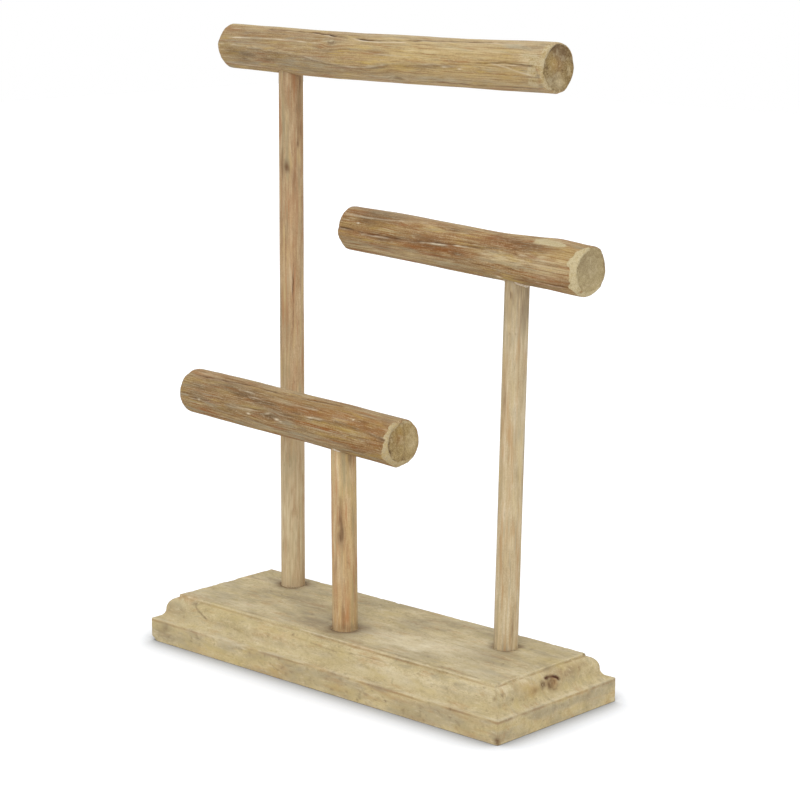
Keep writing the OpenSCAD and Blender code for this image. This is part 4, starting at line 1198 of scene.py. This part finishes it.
def board():
    """The moulded board, a little uneven, with worn edges, nicks, stains, painted shade and highlights, and
    the posts' sockets.
    """
    seed, step = 5, 1.0
    lo, hi = (np.array(corner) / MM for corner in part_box("base_board"))
    length, width, thick = hi - lo
    quirk_top = thick - QUIRK_H
    plinth_top = quirk_top - OVOLO_R - COVE_R
    rows = moulding(width, thick)
    points = np.array([[(*p, z) for p in loop(length, width, inset, step)] for inset, z in rows])
    inset = np.broadcast_to(rows[:, 0][:, None], points.shape[:2])
    z = points[..., 2]
    marks = Marks(z)

    def patchy(base, depth, size, offset, octaves, most=1):
        """An uneven cover: noise of that depth about a base, kept between 0 and the most."""
        return np.clip(base + depth * noise(points, size, seed + offset, octaves), 0, most)

    normal = np.cross(np.gradient(points, axis=1), np.gradient(points, axis=0))
    normal = normal / np.maximum(np.linalg.norm(normal, axis=-1, keepdims=True), 1e-9)
    normal[inset > QUIRK_IN + 2 * EDGE_R] = (0, 0, 1)
    above = fade(z, 0.05, 1.0)
    moulded = fade(inset, 0.8, 2.5) * (1 - fade(inset, QUIRK_IN - 0.6, QUIRK_IN + 0.2))

    rise = 0.10 * noise(points, 22, seed, 2) + 0.035 * noise(points, (20, 2, 2), seed + 1, 2)
    rise += 0.10 * moulded * noise(points, 9, seed + 2, 2) - 0.12
    arris = bell((inset - EDGE_R) / 0.9) * bell((z - plinth_top) / 0.8)
    arris = arris + bell((inset - QUIRK_IN) / 0.8) * fade(z, thick - 1.4, thick - 0.4)
    arris = arris + bell(inset / 0.8) * bell(z / 1.2)
    rise -= 0.9 * arris * patchy(-0.35, 1, 5, 3, 3)
    for x, y, height, size, depth, strength in NICKS:
        away = np.linalg.norm(points - (x, y, height), axis=-1) / size
        rise -= depth * bell(away)
        marks.add("dark", strength * bell(away))
    ragged = 0.7 + 0.7 * noise(points, (9, 3, 3), seed + 4, 3)
    for kind, clouds in CLOUDS.items():
        for x, y, height, dx, dy, dz, strength in clouds:
            away = np.linalg.norm((points - (x, y, height)) / (dx, dy, dz), axis=-1)
            marks.add(kind, strength * ragged * bell(away))
    broken = 0.75 + 0.5 * noise(points, 3, seed + 6, 2)
    for kind, size, strength, path in LINES:
        near = bell(segment_distance(points, path) / size)
        marks.add(kind, strength * broken * near)
        rise += (0.1 if kind == "lip" else -0.35 * strength) * near

    # Dirt, stains and painted light that follow the moulding, from the quirk down to the plinth's face.
    ragged = patchy(0.6, 0.9, (14, 3, 3), 8, 3)
    # Red and dark in the crease at the foot of the quirk: painted shade there, with dirt.
    root = bell((inset - QUIRK_IN + 0.15) / 0.3) * bell((z - quirk_top + 0.05) / 0.25)
    marks.add("red", 0.9 * root * ragged)
    marks.add("dark", 0.4 * root * ragged)
    marks.add("grey", fade(inset, QUIRK_IN, QUIRK_IN + 1.5) * patchy(0.2, 0.4, (18, 12, 9), 10, 4))
    marks.add("dark", 0.6 * patchy(-0.45, 1, (1.9, 1.4, 1.4), 11, 2) * above)
    below = bell((z - plinth_top + 1.2) / 0.5) * (inset < EDGE_R)
    marks.add("red", 1.1 * below * ragged)
    marks.add("dark", 0.3 * below * ragged)
    # Greyer and yellower in the cove: painted shade in the hollow, with a tint.
    cove_shade_and_stain = bell((z - plinth_top - 2.6) / 1.8) * (inset > EDGE_R) * above
    marks.add("grey", 0.4 * cove_shade_and_stain * ragged)
    marks.add("yellow", 0.35 * cove_shade_and_stain)
    # Paler along the plinth's top arris: a painted highlight.
    crown_highlight = bell((z - plinth_top + 0.1) / 0.45) * (inset < 3 * EDGE_R)
    marks.add("lip", 0.28 * crown_highlight * patchy(0.7, 0.6, (9, 9, 3), 12, 2))
    face = (inset < EDGE_R) * (z < plinth_top) * above
    marks.add("grey", face * patchy(0.16, 0.55, (15, 15, 4), 13, 4, 0.6))
    marks.add("yellow", face * patchy(0.05, -0.5, (15, 15, 4), 13, 4, 0.3))
    marks.add("red", face * patchy(-0.25, 0.7, (22, 22, 1.3), 14, 3, 0.5))
    mitre = np.abs(np.abs(points[..., 0]) - length / 2 - np.abs(points[..., 1]) + width / 2)
    marks.add("dark", 0.35 * bell(mitre / 0.5) * (inset < QUIRK_IN) * ragged * above)
    axes = [post_axis(node) for node in POSTS]
    for low, high, radius in axes:
        foot = low + (high - low) / (high - low)[2] * (thick - low[2])
        away = np.linalg.norm(points - foot, axis=-1) - radius
        # Dark ring and grey round each post's foot: painted shade where the post meets the board, with dirt
        # around it.
        marks.add("dark", 0.8 * bell(away / 0.7) + 1.1 * ragged * bell(away / 2.6))
        marks.add("grey", 0.8 * ragged * bell(away / 6))
    points = points + normal * (rise * above)[..., None]

    # Wear has taken off two lower corners: what lies beyond a sloping face is shaved to it.
    for sx, size in ((-1, WORN_CORNER), (1, CHIP)):
        diagonal = np.array([sx, -1, 0]) / math.sqrt(2)
        slope = diagonal * math.sqrt(0.5) + np.array([0, 0, -math.sqrt(0.5)])
        corner = np.array([sx * length / 2, -width / 2, size])
        beyond = (points - corner) @ slope + 0.25 * noise(points, 2, seed + 9, 2)
        points = points - slope * np.maximum(beyond, 0)[..., None]
    points = np.clip(points, lo, hi)

    # The grain runs along x and parts round the two knots.
    grain = points.copy()
    for x, y, height, size in GRAIN_KNOTS:
        away = points - (x, y, height)
        near = bell(np.linalg.norm(away / (1.6, 1, 1), axis=-1) / size)[..., None]
        grain += near * ((0, 6.0, 0) - 0.75 * away * (0, 1, 1))
    piece = skin("base_board_wood", points, {"grain": grain, "rings": z, **attributes(marks, 0)}, flip=True)
    tops = [low + (high - low) * (2 * BASE_SOCKET / (high - low)[2]) for low, high, _ in axes]
    return drill(piece, tops, [low for low, _, _ in axes], [radius + GLUE_GAP for _, _, radius in axes])


# Studio


def studio():
    """A white floor whose colour is darkened near the object by a painted contact shadow, and a soft even
    light that is strongest from above.
    """
    scene = bpy.context.scene
    world = scene.world = scene.world or bpy.data.worlds.new("world")
    world.use_nodes = True
    g = Graph(world.node_tree)
    g.tree.nodes.clear()
    direction = g.add("ShaderNodeTexCoord").outputs["Generated"]
    above = Vector((0.1, -0.25, 0.95)).normalized()
    facing = g.add("ShaderNodeVectorMath", {0: direction, 1: above}, operation="DOT_PRODUCT").outputs["Value"]
    sky = g.span(facing, -0.2, 1, 0.51, 0.74)
    lit = g.add("ShaderNodeBackground", {"Color": (1, 1, 1, 1), "Strength": sky})
    white = g.add("ShaderNodeBackground", {"Color": (1, 1, 1, 1), "Strength": 1.0})
    path = g.add("ShaderNodeLightPath")
    seen = g.maths("MAXIMUM", path.outputs["Is Camera Ray"], path.outputs["Is Glossy Ray"])
    seen = g.maths("MAXIMUM", seen, path.outputs["Is Transmission Ray"])
    both = g.add("ShaderNodeMixShader", {0: seen, 1: lit.outputs[0], 2: white.outputs[0]})
    g.tree.links.new(both.outputs[0], g.add("ShaderNodeOutputWorld").inputs["Surface"])

    lamps = (("key", (-0.2, 0.35, 1.0), 0.37, 60), ("fill", (0.6, -0.85, 0.9), 1.16, 40))
    for name, toward, strength, spread in lamps:
        data = bpy.data.lights.new(name, "SUN")
        data.energy = strength
        data.angle = math.radians(spread)
        lamp = add_object(name, data)
        lamp.rotation_mode = "QUATERNION"
        lamp.rotation_quaternion = Vector(toward).to_track_quat("Z", "Y")

    floor_half = 3.0
    mesh = bpy.data.meshes.new("floor")
    corners = [(x * floor_half, y * floor_half, 0) for x, y in ((-1, -1), (1, -1), (1, 1), (-1, 1))]
    mesh.from_pydata(corners, [], [(0, 1, 2, 3)])
    floor = add_object("floor", mesh)
    material, g = blank_material("floor")
    g.tree.nodes.clear()
    # Painted contact shadow: the floor's colour and glow are darkened by ambient occlusion near the object,
    # on top of the shading that the lamps cast.
    painted_contact_shadow = g.add("ShaderNodeAmbientOcclusion", {"Distance": 0.025}).outputs["AO"]
    painted_contact_shadow = g.maths("POWER", painted_contact_shadow, 1.4)
    tint = {k: g.maths("MULTIPLY", painted_contact_shadow, share) for k, share in enumerate((0.94, 0.96, 0.99))}
    paper = g.add("ShaderNodeBsdfDiffuse", {"Color": g.add("ShaderNodeCombineColor", tint).outputs["Color"]})
    glow = g.maths("MULTIPLY", painted_contact_shadow, 0.24)
    glow = g.add("ShaderNodeEmission", {"Color": (1, 1, 1, 1), "Strength": glow})
    bright = g.add("ShaderNodeAddShader", {0: paper.outputs[0], 1: glow.outputs[0]})
    dull = g.add("ShaderNodeBsdfDiffuse", {"Color": (0.9, 0.88, 0.86, 1)})
    seen = g.add("ShaderNodeLightPath").outputs["Is Camera Ray"]
    both = g.add("ShaderNodeMixShader", {0: seen, 1: dull.outputs[0], 2: bright.outputs[0]})
    g.tree.links.new(both.outputs[0], g.add("ShaderNodeOutputMaterial").inputs["Surface"])
    mesh.materials.append(material)


def camera():
    """The photograph's camera."""
    azimuth, elevation, roll = (math.radians(x) for x in (CAMERA_AZIMUTH, CAMERA_ELEVATION, CAMERA_ROLL))
    flat = math.cos(elevation)
    back = Vector((math.sin(azimuth) * flat, -math.cos(azimuth) * flat, math.sin(elevation)))
    level = Vector((math.cos(azimuth), math.sin(azimuth), 0))
    upright = back.cross(level)
    right = level * math.cos(roll) + upright * math.sin(roll)
    up = upright * math.cos(roll) - level * math.sin(roll)
    data = bpy.data.cameras.new("camera")
    data.sensor_width = SENSOR_MM
    data.lens = SENSOR_MM * CAMERA_FOCAL_PX / PHOTO_PX
    lens = add_object("camera", data)
    place = (right * CAMERA_RIGHT + up * CAMERA_UP + back * CAMERA_BACK) * MM
    lens.matrix_world = Matrix.Translation(place) @ Matrix((right, up, back)).transposed().to_4x4()
    bpy.context.scene.camera = lens


camera()
studio()
bpy.context.scene.view_settings.view_transform = "Standard"

woods = {name: wood(name, look) for name, look in LOOKS.items()}
dress(board(), woods["board"], "base_board")
post_seed, bar_seed, bar_columns = 11, 21, 240
for number, (node, material) in enumerate(zip(POSTS, ("dowel", "pale_dowel", "warm_dowel"))):
    dress(post(node, post_seed + number), woods[material], node)
for number, (node, rows) in enumerate((("top_bar", 376), ("middle_bar", 320), ("lower_bar", 320))):
    dress(bar(node, bar_seed + number, rows, bar_columns), woods[node], node)
squeezed = glue()
for name in BEADS:
    glue_bead(name, squeezed)
